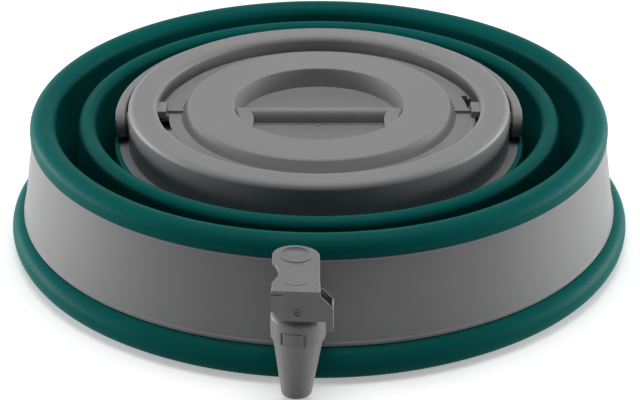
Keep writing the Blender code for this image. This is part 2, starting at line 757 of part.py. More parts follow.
def make_tap_body(parent, finish):
    spout = [
        (0, SPOUT_LOW_Z),
        (SPOUT_TIP_R - SPOUT_EDGE, SPOUT_LOW_Z),
        (SPOUT_TIP_R, SPOUT_LOW_Z + SPOUT_EDGE),
        (SPOUT_TOP_R, SPOUT_TOP_Z),
        (SPOUT_NECK_R, SPOUT_TOP_Z),
        (SPOUT_NECK_R, SPOUT_NECK_Z),
        (0, SPOUT_NECK_Z),
    ]
    body = make_object("tap_body", at_spout(turned(spout, SMALL_STEPS)), parent, finish)
    flange_back = PAD_OUT + GASKET_THICK + 2 * GAP
    flange_front = flange_back + TAP_FLANGE_THICK
    shank = [
        (0, SHANK_END),
        (SHANK_R, SHANK_END),
        (SHANK_R, flange_back),
        (TAP_FLANGE_R, flange_back),
        (TAP_FLANGE_R, flange_front),
        (SHANK_R, flange_front),
        (SHANK_R, SPOUT_OUT),
        (0, SPOUT_OUT),
    ]
    join(body, "tap_shank", outwards(turned(shank, SMALL_STEPS), SHANK_Z))
    inside = [
        (0, SPOUT_LOW_Z - OVERRUN),
        (OUTLET_R, SPOUT_LOW_Z - OVERRUN),
        (OUTLET_R, SEAT_Z),
        (SEAT_R, SEAT_Z),
        (SEAT_R, SEAT_Z + SEAT_THICK),
        (CHAMBER_R, SEAT_Z + SEAT_THICK),
        (CHAMBER_R, SPOUT_NECK_Z + OVERRUN),
        (0, SPOUT_NECK_Z + OVERRUN),
    ]
    bore = rod(SHANK_BORE_R, SHANK_END - OVERRUN, SPOUT_OUT - CHAMBER_R / 3)
    chamber = cut(body, "tap_chamber", at_spout(turned(inside, SMALL_STEPS)))
    join(chamber, "tap_shank_bore", outwards(turned(bore, SMALL_STEPS), SHANK_Z))
    return body


def make_tap_bonnet(parent, finish):
    plate_low_z = BONNET_TOP_Z - BONNET_PLATE
    pocket_out = RING_POCKET_R + RING_POCKET_WALL
    pocket_low_z = plate_low_z - BONNET_PLATE
    outline = [
        (STEM_R + GAP, BONNET_TOP_Z),
        (STEM_R + GAP, plate_low_z),
        (RING_POCKET_R, plate_low_z),
        (RING_POCKET_R, pocket_low_z),
        (pocket_out, pocket_low_z),
        (pocket_out, plate_low_z),
        (SPOUT_NECK_R + GAP, plate_low_z),
        (SPOUT_NECK_R + GAP, SPOUT_TOP_Z + GAP),
        (BONNET_R, SPOUT_TOP_Z + GAP),
        (BONNET_R, BONNET_TOP_Z),
    ]
    bonnet = make_object("tap_bonnet", at_spout(turned(outline, SMALL_STEPS)), parent, finish)
    for side in (-1, 1):
        reach = sorted((side * EAR_X, side * (EAR_X + EAR_THICK)))
        ear = block(
            (reach[0], -PIVOT_OUT - EAR_HALF, plate_low_z + GAP),
            (reach[1], -PIVOT_OUT + EAR_HALF, PIVOT_Z + EAR_HALF),
        )
        join(bonnet, f"bonnet_ear_{side}", ear)
    hole = turned(rod(PIN_R + PIVOT_GAP, -PIN_HALF, PIN_HALF), PIN_STEPS)
    at_pivot = Matrix.Translation((0, -PIVOT_OUT, 0))
    cut(bonnet, "bonnet_pin_hole", moved(along_x(hole, PIVOT_Z), at_pivot))
    return bonnet


def make_washer(name, inner, outer, start, parent, finish):
    outline = [
        (inner, start),
        (outer - GASKET_EDGE, start),
        (outer, start + GASKET_EDGE),
        (outer, start + GASKET_THICK - GASKET_EDGE),
        (outer - GASKET_EDGE, start + GASKET_THICK),
        (inner, start + GASKET_THICK),
    ]
    return make_object(name, outwards(turned(outline, SMALL_STEPS), SHANK_Z), parent, finish)


def make_tap_nut(parent, finish):
    face = PAD_IN - GASKET_THICK - 2 * GAP
    corner_r = NUT_ACROSS / 2 / math.cos(math.pi / 6)
    corners = []
    for i in range(6):
        angle = i * math.pi / 3 - math.pi / SMALL_STEPS
        corners.append((corner_r * math.cos(angle), corner_r * math.sin(angle)))
    blank = outwards(prism(corners, face - NUT_THICK, face), SHANK_Z)
    nut = make_object("tap_nut", blank, parent, finish)
    bore = rod(SHANK_R + GAP, face - NUT_THICK - OVERRUN, face + OVERRUN)
    cut(nut, "nut_bore", outwards(turned(bore, SMALL_STEPS), SHANK_Z))
    return nut


def lever_point(across, back, up):
    """A point of the lever's sloped plate: across it, back from its front edge and above its face."""
    lean = Matrix.Rotation(LEVER_SLOPE, 3, "X") @ Vector((0, back, up))
    return Vector((across, lean.y - LEVER_FRONT, lean.z + LEVER_TOP_Z))


def lever_outline():
    """Plan of the plate: straight sides, a round back end and the finger notch on the left."""
    straight = LEVER_LENGTH - LEVER_END
    outline = [(-LEVER_HALF, 0), (LEVER_HALF, 0), (LEVER_HALF, straight)]
    for i in range(1, 2 * ARC_STEPS):
        angle = math.pi * i / (2 * ARC_STEPS)
        outline.append((LEVER_HALF * math.cos(angle), straight + LEVER_END * math.sin(angle)))
    outline.append((-LEVER_HALF, straight))
    for depth_share, back_share in reversed(NOTCH_SHARES):
        outline.append((-LEVER_HALF + NOTCH_DEPTH * depth_share, LEVER_LENGTH * back_share))
    return outline


def lever_dish():
    """The thumb dish near the plate's back end, as a cutter."""
    middle = LEVER_LENGTH - LEVER_END
    rim = []
    for i in range(SMALL_STEPS):
        angle = FULL_TURN * i / SMALL_STEPS
        across = LEVER_HALF * DISH_SHARE * math.cos(angle)
        rim.append((across, middle + LEVER_END * DISH_SHARE * math.sin(angle)))
    return prism(rim, -DISH_DEPTH, OVERRUN)


def lean_plate(bm):
    for point in bm.verts:
        point.co = lever_point(*point.co)
    return bm


def front_plate(outline, front, back):
    """A plate with an (x, z) outline seen from the front, between two distances out."""
    bm = prism([(x, z) for x, z in outline], back, front)
    return moved(bm, Matrix.Rotation(QUARTER, 4, "X"))


def make_tap_lever(parent, finish):
    origin = (0, -PIVOT_OUT, PIVOT_Z)
    plate = lean_plate(prism(lever_outline(), -LEVER_THICK, 0))
    lever = make_object("tap_lever", plate, parent, finish, origin)
    inner_x = BOX_HALF - BOX_WALL
    shoulder = LEVER_TOP_Z - LEVER_THICK / 2
    wing_in = WING_R - WING_TAB
    face = [
        (-BOX_HALF, shoulder),
        (-BOX_HALF, CHEEK_LOW_Z),
        (-BOX_HALF + CHAMFER_X, BOX_LOW_Z),
        (wing_in, BOX_LOW_Z),
        (wing_in, WING_TAB_LOW_Z),
        (WING_R, WING_TAB_LOW_Z),
        (WING_R, WING_SHOULDER_Z),
        (LEVER_HALF, WING_TOP_Z),
        (LEVER_HALF, shoulder),
    ]
    join(lever, "lever_front", front_plate(face, LEVER_FRONT - GAP, LEVER_FRONT - BOX_WALL))
    wing = [
        (inner_x, BOX_LOW_Z),
        (wing_in, BOX_LOW_Z),
        (wing_in, WING_TAB_LOW_Z),
        (WING_R, WING_TAB_LOW_Z),
        (WING_R, WING_SHOULDER_Z),
        (LEVER_HALF, WING_TOP_Z),
        (inner_x, WING_TOP_Z),
    ]
    join(lever, "lever_wing", front_plate(wing, LEVER_FRONT - BOX_WALL / 2, WING_BACK))
    for side in (-1, 1):
        reach = sorted((side * (BOX_HALF - GAP), side * inner_x))
        cheek = block(
            (reach[0], -LEVER_FRONT + BOX_WALL / 2, CHEEK_LOW_Z),
            (reach[1], -CHEEK_BACK, shoulder),
        )
        join(lever, f"lever_cheek_{side}", cheek)
    cut(lever, "lever_dish", lean_plate(lever_dish()))
    hole = turned(rod(PIN_R + PIVOT_GAP, -WING_R - OVERRUN, PIN_HALF + GAP), PIN_STEPS)
    at_pivot = Matrix.Translation((0, -PIVOT_OUT, 0))
    cut(lever, "lever_pin_hole", moved(along_x(hole, PIVOT_Z), at_pivot))
    return lever


def make_lever_pin(parent, finish):
    pin = along_x(turned(rod(PIN_R, -PIN_HALF, PIN_HALF), PIN_STEPS), PIVOT_Z)
    placed = moved(pin, Matrix.Translation((0, -PIVOT_OUT, 0)))
    return make_object("tap_lever_pin", placed, parent, finish, (0, -PIVOT_OUT, PIVOT_Z))


def stem_head_z():
    """Height of the middle of the stem's round head, which rolls on the lever's underside."""
    back = LEVER_FRONT - SPOUT_OUT
    under = LEVER_TOP_Z + back * math.tan(LEVER_SLOPE) - LEVER_THICK / math.cos(LEVER_SLOPE)
    return under - (STEM_HEAD_R + STEM_HEAD_GAP) / math.cos(LEVER_SLOPE)


def make_tap_stem(parent, finish):
    seal_top_z = SEAT_Z - GAP
    knob_top_z = seal_top_z - VALVE_SEAL_THICK - GAP
    head_z = stem_head_z()
    outline = [
        (0, knob_top_z - STEM_KNOB),
        (STEM_KNOB_R, knob_top_z - STEM_KNOB),
        (STEM_KNOB_R, knob_top_z),
        (STEM_R, knob_top_z),
        (STEM_R, SEAT_Z),
        (STEM_KNOB_R, SEAT_Z),
        (STEM_KNOB_R, SEAT_Z + STEM_KNOB),
        (STEM_R, SEAT_Z + STEM_KNOB),
        (STEM_R, head_z),
        (STEM_HEAD_R, head_z),
    ]
    outline += arc((0, head_z), STEM_HEAD_R, 0, QUARTER, ARC_STEPS)[1:-1]
    outline.append((0, head_z + STEM_HEAD_R))
    stem = at_spout(turned(outline, PIN_STEPS))
    return make_object("tap_stem", stem, parent, finish, (0, -SPOUT_OUT, SEAT_Z))


def make_valve_seal(parent, finish):
    high = SEAT_Z - GAP
    seal = at_spout(turned(tube(STEM_R + GAP, VALVE_SEAL_R, high - VALVE_SEAL_THICK, high), SMALL_STEPS))
    return make_object("tap_valve_seal", seal, parent, finish, (0, -SPOUT_OUT, high))


def make_stem_ring(parent, finish):
    high = BONNET_TOP_Z - BONNET_PLATE - GAP
    outline = tube(STEM_R + GAP, RING_POCKET_R - GAP, high - BONNET_PLATE + GAP, high)
    return make_object("tap_stem_ring", at_spout(turned(outline, PIN_STEPS)), parent, finish)


def make_tap_spring(parent, finish):
    low = BONNET_TOP_Z + GAP + SPRING_WIRE_R
    high = stem_head_z() - GAP - SPRING_WIRE_R
    count = SPRING_CURLS * CURL_POINTS
    curve = bpy.data.curves.new("tap_spring", "CURVE")
    curve.dimensions = "3D"
    curve.bevel_depth = SPRING_WIRE_R
    curve.bevel_resolution = 1
    curve.use_fill_caps = True
    line = curve.splines.new("POLY")
    line.points.add(count)
    for i in range(count + 1):
        angle = FULL_TURN * i / CURL_POINTS
        rise = (high - low) * i / count
        line.points[i].co = (SPRING_R * math.cos(angle), SPRING_R * math.sin(angle), rise, 1)
    curve.materials.append(finish)
    spring = bpy.data.objects.new("tap_spring", curve)
    bpy.context.collection.objects.link(spring)
    spring.parent = parent
    spring.location = (0, -SPOUT_OUT, low)
    pitch = (high - low) / SPRING_CURLS
    print("least gap between the spring's turns, mm:", round(1000 * (pitch - 2 * SPRING_WIRE_R), 2))
    return spring


def make_vessel(grey, green):
    """The base, the folding wall and the neck, each on the frame that slides up with it."""
    base = make_frame("base_frame")
    middle = make_frame("middle_frame", base)
    neck = make_frame("neck_frame", middle)
    make_foot_ring(base, green("foot_ring"))
    make_outer_fold(base, green("outer_fold"))
    fold_wall(
        "outer_fold_wall",
        CREST_R - CREST_ROUND + CREST_WALL / 2,
        CREST_LEG_Z - GAP,
        VALLEY_R + VALLEY_ROUND,
        VALLEY_LEG_Z + GAP,
        base,
        green("outer_fold_wall"),
    )
    make_middle_fold(middle, green("middle_fold"))
    fold_wall(
        "inner_fold_wall",
        INNER_CREST_R - INNER_CREST_ROUND + WALL / 2,
        INNER_LEG_Z - GAP,
        NECK_VALLEY_R + VALLEY_ROUND,
        VALLEY_LEG_Z + GAP,
        middle,
        green("inner_fold_wall"),
    )
    make_neck_fold(neck, green("neck_fold"))
    make_neck_ring(neck, grey("neck_ring"))
    return base, neck


def make_tap(base, grey):
    tap = make_frame("tap_frame", base, turn=TAP_TURN)
    rubber = make_material("tap_rubber", BLACK, 0.7)
    steel = make_material("tap_spring", STEEL, 0.3, 1.0)
    make_tap_body(tap, grey("tap_body"))
    make_tap_bonnet(tap, grey("tap_bonnet"))
    washer_in = SHANK_R + GAP
    outer_start = PAD_OUT + GAP
    inner_start = PAD_IN - GAP - GASKET_THICK
    make_washer("tap_outer_gasket", washer_in, TAP_FLANGE_R, outer_start, tap, rubber.copy())
    make_washer("tap_inner_gasket", washer_in, NUT_ACROSS / 2, inner_start, tap, rubber.copy())
    make_tap_nut(tap, grey("tap_nut"))
    make_tap_lever(tap, grey("tap_lever"))
    make_lever_pin(tap, grey("tap_lever_pin"))
    make_tap_stem(tap, grey("tap_stem"))
    make_valve_seal(tap, rubber.copy())
    make_stem_ring(tap, rubber.copy())
    make_tap_spring(tap, steel)


def main():
    clear_scene()

    def grey(name):
        return make_material(name, GREY, 0.45)

    def green(name):
        return make_material(name, GREEN, 0.4)

    base, neck = make_vessel(grey, green)
    make_pan(base, grey("pan"))
    make_tap(base, grey)
    make_lid(neck, grey("lid"))
    make_lid_seal(neck, make_material("lid_seal", BLACK, 0.7))
    make_handle(neck, grey("handle"))


main()
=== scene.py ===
# %% [markdown]
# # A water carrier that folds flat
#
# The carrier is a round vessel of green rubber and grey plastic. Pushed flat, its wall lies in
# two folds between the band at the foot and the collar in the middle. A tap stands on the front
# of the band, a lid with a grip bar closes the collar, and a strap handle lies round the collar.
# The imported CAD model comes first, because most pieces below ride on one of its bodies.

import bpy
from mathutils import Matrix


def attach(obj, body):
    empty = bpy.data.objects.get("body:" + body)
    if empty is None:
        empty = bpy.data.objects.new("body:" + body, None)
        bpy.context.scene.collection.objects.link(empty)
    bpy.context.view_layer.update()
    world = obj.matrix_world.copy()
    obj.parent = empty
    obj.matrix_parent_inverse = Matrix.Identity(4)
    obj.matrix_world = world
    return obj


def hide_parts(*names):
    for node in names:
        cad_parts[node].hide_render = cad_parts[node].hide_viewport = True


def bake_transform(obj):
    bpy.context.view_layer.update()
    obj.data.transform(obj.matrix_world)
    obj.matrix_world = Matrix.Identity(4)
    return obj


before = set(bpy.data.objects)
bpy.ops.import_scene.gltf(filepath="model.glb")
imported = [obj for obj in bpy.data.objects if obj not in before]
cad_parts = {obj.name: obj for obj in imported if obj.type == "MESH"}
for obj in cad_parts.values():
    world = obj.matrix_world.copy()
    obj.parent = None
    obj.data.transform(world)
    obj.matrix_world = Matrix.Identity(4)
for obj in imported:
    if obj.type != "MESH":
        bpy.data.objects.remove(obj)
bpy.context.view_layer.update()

# %% The rest of the toolbox
import math

import bmesh
import bpy
from mathutils import Matrix, Vector

MM = 0.001
FULL_TURN = 2 * math.pi
QUARTER = math.pi / 2
UP = Vector((0, 0, 1))
ON_EDGE = Matrix.Rotation(QUARTER, 4, "Z") @ Matrix.Rotation(QUARTER, 4, "X")
UNTURNED = Matrix.Identity(4)
HALF_TURN = Matrix.Rotation(math.pi, 4, "Z")

# %% [markdown]
# ## Outlines
#
# Nearly everything here is turned about an axis, so a piece starts as half of its section, in
# millimetres. A moulded corner is never sharp: it could be bevelled later, but a section with
# its corners rounded first gives clean rings of faces, and each corner has its own radius.

# %% Sections with rounded corners
CORNER_STEP = math.radians(14)


def rounded(corners, closed=True):
    """A section from (radius, height, corner radius) rows, with each corner rounded off."""
    points = []
    for i, (r, z, size) in enumerate(corners):
        here = Vector((r, z))
        end = not closed and i in (0, len(corners) - 1)
        if size == 0 or end:
            points.append(here)
            continue
        back = (Vector(corners[i - 1][:2]) - here).normalized()
        ahead = (Vector(corners[(i + 1) % len(corners)][:2]) - here).normalized()
        half = back.angle(ahead) / 2
        centre = here + (back + ahead).normalized() * size / math.sin(half)
        start = here + back * size / math.tan(half) - centre
        stop = here + ahead * size / math.tan(half) - centre
        steps = max(2, round(start.angle(stop) / CORNER_STEP))
        points += [centre + start.slerp(stop, k / steps) * size for k in range(steps + 1)]
    return points


def arc(centre, radius, start, stop, steps):
    """Points on an arc of a section, between two angles in degrees."""
    made = []
    for k in range(steps + 1):
        angle = math.radians(start + (stop - start) * k / steps)
        made.append(Vector(centre) + radius * Vector((math.cos(angle), math.sin(angle))))
    return made


def ribbon(path, thick_start, thick_stop):
    """A section that follows a line, with a wall whose thickness goes from one value to another."""
    left, right = [], []
    last = len(path) - 1
    for i, point in enumerate(path):
        along = (path[min(i + 1, last)] - path[max(i - 1, 0)]).normalized()
        half = (thick_start + (thick_stop - thick_start) * i / last) / 2
        side = Vector((-along.y, along.x)) * half
        left.append(point + side)
        right.append(point - side)
    return left + right[::-1]


# %% [markdown]
# ## Turning, joining and cutting
#
# The spin operator turns a section into a solid, and Blender's Boolean modifier joins shapes on
# or cuts them away. The modifier's result is read back at once, so that no hidden shapes stay.
# Every length in a section or a corner is in millimetres, and becomes metres when it is made.

# %% Turned, flat and square shapes
SOFTENED_FROM = math.radians(30)


def revolve(section, steps=192):
    """A solid of revolution about Z. The section is closed, or runs from axis to axis."""
    bm = bmesh.new()
    points = [bm.verts.new((r * MM, 0, z * MM)) for r, z in section]
    edges = [bm.edges.new(pair) for pair in zip(points, points[1:])]
    if section[0][0] > 0:
        edges.append(bm.edges.new((points[-1], points[0])))
    bmesh.ops.spin(
        bm,
        geom=points + edges,
        cent=(0, 0, 0),
        axis=UP,
        angle=FULL_TURN,
        steps=steps,
        use_merge=True,
    )
    bmesh.ops.remove_doubles(bm, verts=bm.verts, dist=1e-7)
    bmesh.ops.recalc_face_normals(bm, faces=bm.faces)
    return bm


def plate(outline, low, high):
    """A flat plate with an outline in millimetres, between two heights."""
    bm = bmesh.new()
    face = bm.faces.new([bm.verts.new((x * MM, y * MM, low * MM)) for x, y in outline])
    grown = bmesh.ops.extrude_face_region(bm, geom=[face])
    lifted = [item for item in grown["geom"] if isinstance(item, bmesh.types.BMVert)]
    bmesh.ops.translate(bm, verts=lifted, vec=(0, 0, (high - low) * MM))
    bmesh.ops.recalc_face_normals(bm, faces=bm.faces)
    return bm


def box(low, high, edge):
    """A box between two corners in millimetres, with its edges rounded."""
    bm = bmesh.new()
    size = Vector(high) - Vector(low)
    place = Matrix.Translation((Vector(low) + size / 2) * MM) @ Matrix.Diagonal((*size * MM, 1))
    bmesh.ops.create_cube(bm, size=1, matrix=place)
    return soften(bm, edge)


def soften(bm, width, segments=3):
    """Rounds every edge that turns by more than 30 degrees."""
    sharp = [e for e in bm.edges if e.is_manifold and e.calc_face_angle() > SOFTENED_FROM]
    bmesh.ops.bevel(
        bm,
        geom=sharp,
        offset=width * MM,
        segments=segments,
        profile=0.5,
        affect="EDGES",
        material=-1,
    )
    return bm


# %% Moving, joining and finishing
SMOOTH_UP_TO = math.radians(35)


def moved(bm, matrix):
    """Moves or turns a shape, and hands it back."""
    bmesh.ops.transform(bm, matrix=matrix, verts=bm.verts)
    return bm


def as_mesh(bm, name):
    """Turns a bmesh into mesh data, and frees the bmesh."""
    mesh = bpy.data.meshes.new(name)
    bm.to_mesh(mesh)
    bm.free()
    return mesh


def combined(target, other, operation):
    """Joins other on to target ("UNION") or cuts it away ("DIFFERENCE"), and gives the result."""
    shapes = []
    for label, bm in (("target", target), ("other", other)):
        shape = bpy.data.objects.new(label, as_mesh(bm, label))
        bpy.context.scene.collection.objects.link(shape)
        shapes.append(shape)
    step = shapes[0].modifiers.new("combine", "BOOLEAN")
    step.operation = operation
    step.solver = "EXACT"
    step.object = shapes[1]
    result = bmesh.new()
    result.from_object(shapes[0], bpy.context.evaluated_depsgraph_get())
    for shape in shapes:
        bpy.data.objects.remove(shape)
    return result


def piece(bm, name, finish, body=None):
    """Makes the finished object, smooth up to an angle, and lets it ride on a body if given."""
    mesh = as_mesh(bm, name)
    mesh.shade_smooth()
    mesh.set_sharp_from_angle(angle=SMOOTH_UP_TO)
    mesh.materials.append(finish)
    made = bpy.data.objects.new(name, mesh)
    bpy.context.scene.collection.objects.link(made)
    if body:
        even = made.modifiers.new("flat faces shade flat", "WEIGHTED_NORMAL")
        even.keep_sharp = True
        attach(made, body)
    print(f"{name}: {len(mesh.polygons)} faces")
    return made


# %% [markdown]
# ## Finishes
#
# The grey parts are moulded polypropylene with a fine matt grain. The green parts are a soft
# thermoplastic rubber with a satin skin. A flat colour would look like a drawing, so a moulded
# finish has a slow drift of colour, a fine grain in bump, uneven gloss, and convex edges painted a
# little paler: a painted highlight along the edges, with a little wear.


# %% Nodes that the finishes share
def new_finish(name, roughness, metallic=0.0, specular=0.5):
    """A new material, handed back with its node tree and its shader."""
    made = bpy.data.materials.new(name)
    made.use_nodes = True
    shader = made.node_tree.nodes["Principled BSDF"]
    shader.inputs["Roughness"].default_value = roughness
    shader.inputs["Metallic"].default_value = metallic
    shader.inputs["Specular IOR Level"].default_value = specular
    return made, made.node_tree, shader


def noise(tree, scale, detail, roughness=0.55):
    """A noise on Object coordinates, so that it stays with the piece."""
    place = tree.nodes.new("ShaderNodeTexCoord")
    made = tree.nodes.new("ShaderNodeTexNoise")
    made.inputs["Scale"].default_value = scale
    made.inputs["Detail"].default_value = detail
    made.inputs["Roughness"].default_value = roughness
    tree.links.new(place.outputs["Object"], made.inputs["Vector"])
    return made.outputs["Fac"]


def between(tree, value, low_in, high_in, low_out, high_out):
    """Maps a value from one range to another."""
    made = tree.nodes.new("ShaderNodeMapRange")
    for name, number in (
        ("From Min", low_in),
        ("From Max", high_in),
        ("To Min", low_out),
        ("To Max", high_out),
    ):
        made.inputs[name].default_value = number
    tree.links.new(value, made.inputs["Value"])
    return made.outputs["Result"]


def blended(tree, share, first, second):
    """Mixes two colours, or a colour and a linked one."""
    made = tree.nodes.new("ShaderNodeMix")
    made.data_type = "RGBA"
    tree.links.new(share, made.inputs["Factor"])
    for socket, colour in ((made.inputs["A"], first), (made.inputs["B"], second)):
        if isinstance(colour, tuple):
            socket.default_value = (*colour, 1)
        else:
            tree.links.new(colour, socket)
    return made.outputs["Result"]


def bumps(tree, shader, layers):
    """Stacks (height, strength, depth in metres) layers of bump on a shader."""
    last = None
    for height, strength, depth in layers:
        made = tree.nodes.new("ShaderNodeBump")
        made.inputs["Strength"].default_value = strength
        made.inputs["Distance"].default_value = depth
        tree.links.new(height, made.inputs["Height"])
        if last:
            tree.links.new(last, made.inputs["Normal"])
        last = made.outputs["Normal"]
    tree.links.new(last, shader.inputs["Normal"])


def edge_highlight_and_wear(tree, colour, pale):
    """Paints convex edges a little paler from the mesh's own pointiness: a painted highlight, with a
    little wear.
    """
    highlight_from, highlight_full, palest = 0.53, 0.62, 0.35
    shape = tree.nodes.new("ShaderNodeNewGeometry")
    share = between(tree, shape.outputs["Pointiness"], highlight_from, highlight_full, 0.0, palest)
    return blended(tree, share, colour, pale)


# %% Moulded plastic and rubber
NOISE_LOW, NOISE_HIGH = 0.3, 0.7


def moulded(name, deep, light, pale, gloss, grain_scale, grain_depth, specular):
    """A moulded finish: drifting colour, a painted edge highlight, uneven gloss, fine grain and slow
    ripples.
    """
    made, tree, shader = new_finish(name, gloss[0], specular=specular)
    drift = between(tree, noise(tree, 14.0, 4.0), NOISE_LOW, NOISE_HIGH, 0.0, 1.0)
    # Convex edges are painted paler here: a painted highlight along the edges, with a little wear.
    colour = edge_highlight_and_wear(tree, blended(tree, drift, deep, light), pale)
    tree.links.new(colour, shader.inputs["Base Color"])
    patches = between(tree, noise(tree, 55.0, 5.0), NOISE_LOW, NOISE_HIGH, *gloss)
    tree.links.new(patches, shader.inputs["Roughness"])
    grain = noise(tree, grain_scale, 3.0, 0.6)
    ripple = noise(tree, 30.0, 1.0)
    bumps(tree, shader, [(ripple, 0.12, 0.0006), (grain, 0.25, grain_depth)])
    print("finish:", name)
    return made


# Each row: two tones of the finish's own colour, then the paler colour painted on convex edges as a
# highlight.
GREYS = ((0.243, 0.243, 0.246), (0.262, 0.262, 0.265), (0.34, 0.34, 0.34))
GREENS = ((0.0015, 0.094, 0.086), (0.0022, 0.106, 0.097), (0.016, 0.165, 0.155))
BLACKS = ((0.018, 0.018, 0.018), (0.024, 0.024, 0.024), (0.05, 0.05, 0.05))

grey_plastic = moulded(
    "grey_plastic", *GREYS, gloss=(0.40, 0.50), grain_scale=1500, grain_depth=0.00004, specular=0.25
)
tap_plastic = moulded(
    "tap_plastic", *GREYS, gloss=(0.36, 0.44), grain_scale=2200, grain_depth=0.00003, specular=0.25
)
green_rubber = moulded(
    "green_rubber", *GREENS, gloss=(0.40, 0.50), grain_scale=900, grain_depth=0.00003, specular=0.03
)
black_rubber = moulded(
    "black_rubber", *BLACKS, gloss=(0.6, 0.75), grain_scale=1200, grain_depth=0.00004, specular=0.2
)

# %% [markdown]
# The spring is drawn wire. The die that draws it leaves fine marks, and a very fine noise stands
# in for them, in the colour and in the bump.

# %% Drawn wire
spring_steel, wire_tree, wire_shader = new_finish("spring_steel", 0.3, metallic=1.0)
wire_marks = noise(wire_tree, 2600.0, 2.0)
wire_colour = blended(wire_tree, wire_marks, (0.46, 0.46, 0.47), (0.60, 0.60, 0.61))
wire_tree.links.new(wire_colour, wire_shader.inputs["Base Color"])
bumps(wire_tree, wire_shader, [(wire_marks, 0.2, 0.00003)])

# %% [markdown]
# ## The foot ring
#
# The whole carrier stands on a soft green ring. It is a full round at the outside with a flat
# foot, and the real one isn't perfectly round: it was pushed over the pan by hand. So its
# outside is drawn in a little, and swells and sinks by a few tenths of a millimetre as it goes
# round.

# %% Foot ring
RING_R = 150.0
RING_ROUND = 7.3
SWELL_FROM = 138.0
DRAWN_IN = 0.2
ring_section = [Vector((134.7, 0.0)), Vector((141.0, 0.0))]
ring_section += arc((RING_R - RING_ROUND, RING_ROUND), RING_ROUND, -90, 90, 18)
ring_section += [Vector((137.8, 2 * RING_ROUND)), Vector((134.7, 3.0))]
ring = revolve(ring_section, 256)
for point in ring.verts:
    angle = math.atan2(point.co.y, point.co.x)
    out = (point.co.xy.length / MM - SWELL_FROM) / (RING_R - SWELL_FROM)
    swell = 0.28 * math.sin(3 * angle + 0.8) + 0.14 * math.sin(7 * angle)
    point.co.xy *= 1 + max(out, 0) * (swell - DRAWN_IN) * MM / point.co.xy.length
foot_ring = piece(ring, "foot_ring_rubber", green_rubber, "base")
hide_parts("foot_ring")

# %% [markdown]
# ## The pan
#
# The floor and the slanted band are one grey moulding. The band has a thin lip at its top edge
# and another at its foot, which catch the light as fine bright lines in the photograph.

# %% Pan
pan_section = rounded(
    [
        (0, 0, 0),
        (60, 0, 0.6),
        (61.2, 1.2, 0.6),
        (124.8, 1.2, 0.6),
        (126, 0, 0.6),
        (134.4, 0, 0.5),
        (134.4, 3.0, 1.0),
        (137.5, 14.9, 0),
        (143.5, 14.9, 0.35),
        (143.5, 16.5, 0.45),
        (142.85, 16.9, 0.3),
        (137.5, 53.8, 0.3),
        (138.2, 54.1, 0.3),
        (138.2, 55.1, 0.35),
        (134.8, 55.1, 0.3),
        (140.3, 17.5, 1.5),
        (134.9, 14.9, 1.5),
        (131.8, 4.7, 1.0),
        (129.2, 3.2, 1.0),
        (0, 3.2, 0),
    ],
    closed=False,
)
pan = revolve(pan_section, 256)

# %% [markdown]
# The tap's flange needs something flat and upright to seal on, so the slanted band has a round
# pad there, with the hole for the tap's shank. All of the tap is turned a little to the left.

# %% Tap pad and hole
TAP_ANGLE = math.radians(-3.1)
TAP_TURN = Matrix.Rotation(TAP_ANGLE, 4, "Z")
SHANK_Z = 30.0


def outwards(bm, height=SHANK_Z):
    """Lays a shape turned about Z along the tap's shank, so that its heights run outwards."""
    lay = Matrix.Translation((0, 0, height * MM)) @ Matrix.Rotation(QUARTER, 4, "X")
    return moved(bm, lay)


def rod(radius, low, high, steps=48):
    """A plain round cutter about Z."""
    return revolve([Vector(p) for p in ((0, low), (radius, low), (radius, high), (0, high))], steps)


pad_rows = [(0, 135.0, 0), (11.5, 135.0, 0), (11.5, 143.2, 0.4), (0, 143.2, 0)]
tap_pad = outwards(revolve(rounded(pad_rows, closed=False), 64))
tap_hole = outwards(rod(7.6, 134, 144.5, 64))
pan = combined(pan, moved(tap_pad, TAP_TURN), "UNION")
pan = combined(pan, moved(tap_hole, TAP_TURN), "DIFFERENCE")
pan_shell = piece(pan, "pan_moulding", grey_plastic, "base")
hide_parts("pan")

# %% [markdown]
# ## The folding wall
#
# On the real carrier the green wall is one moulding that rolls over at its folds as the neck is
# pulled up. A single mesh couldn't follow three bodies, so it is made in five lengths that meet
# edge to edge. Where two lengths meet on a crest, both end in a very short level strip: their
# shading then agrees, and the joint can't be seen. The two walls between bodies ride on none.

# %% The two crests and the two valleys
CREST = Vector((132.0, 58.1))
CREST_MID = 4.9
INNER_CREST = Vector((111.0, 57.4))
INNER_MID = 3.1
VALLEY = Vector((119.1, 13.5))
NECK_VALLEY = Vector((101.5, 13.5))
VALLEY_MID = 1.9
STRIP = Vector((0.2, 0))
RISE = Vector((0, 1))
WALL = 1.8
CREST_WALL = 2.4
STRAIGHT_STEPS = 14


def straight(start, stop):
    """Points between two others, without the two."""
    return [start.lerp(stop, k / STRAIGHT_STEPS) for k in range(1, STRAIGHT_STEPS)]


def down_line(crest, size, valley):
    """From the top of a crest, over its inner side, down to the bottom of the next valley."""
    over = arc(crest - STRIP, size, 90, 180, 16)
    under = arc(valley + STRIP, VALLEY_MID, 0, -90, 6)
    line = [crest + RISE * size] + over + straight(over[-1], under[0]) + under
    return line + [valley - RISE * VALLEY_MID]


def up_line(valley, crest, size):
    """From the bottom of a valley, up to the top of the next crest."""
    under = arc(valley - STRIP, VALLEY_MID, -90, -180, 6)
    over = arc(crest + STRIP, size, 0, 90, 16)
    line = [valley - RISE * VALLEY_MID] + under + straight(under[-1], over[0]) + over
    return line + [crest + RISE * size]


def bare(points):
    """Points as rows of a section, with no corner rounded."""
    return [(p.x, p.y, 0) for p in points]


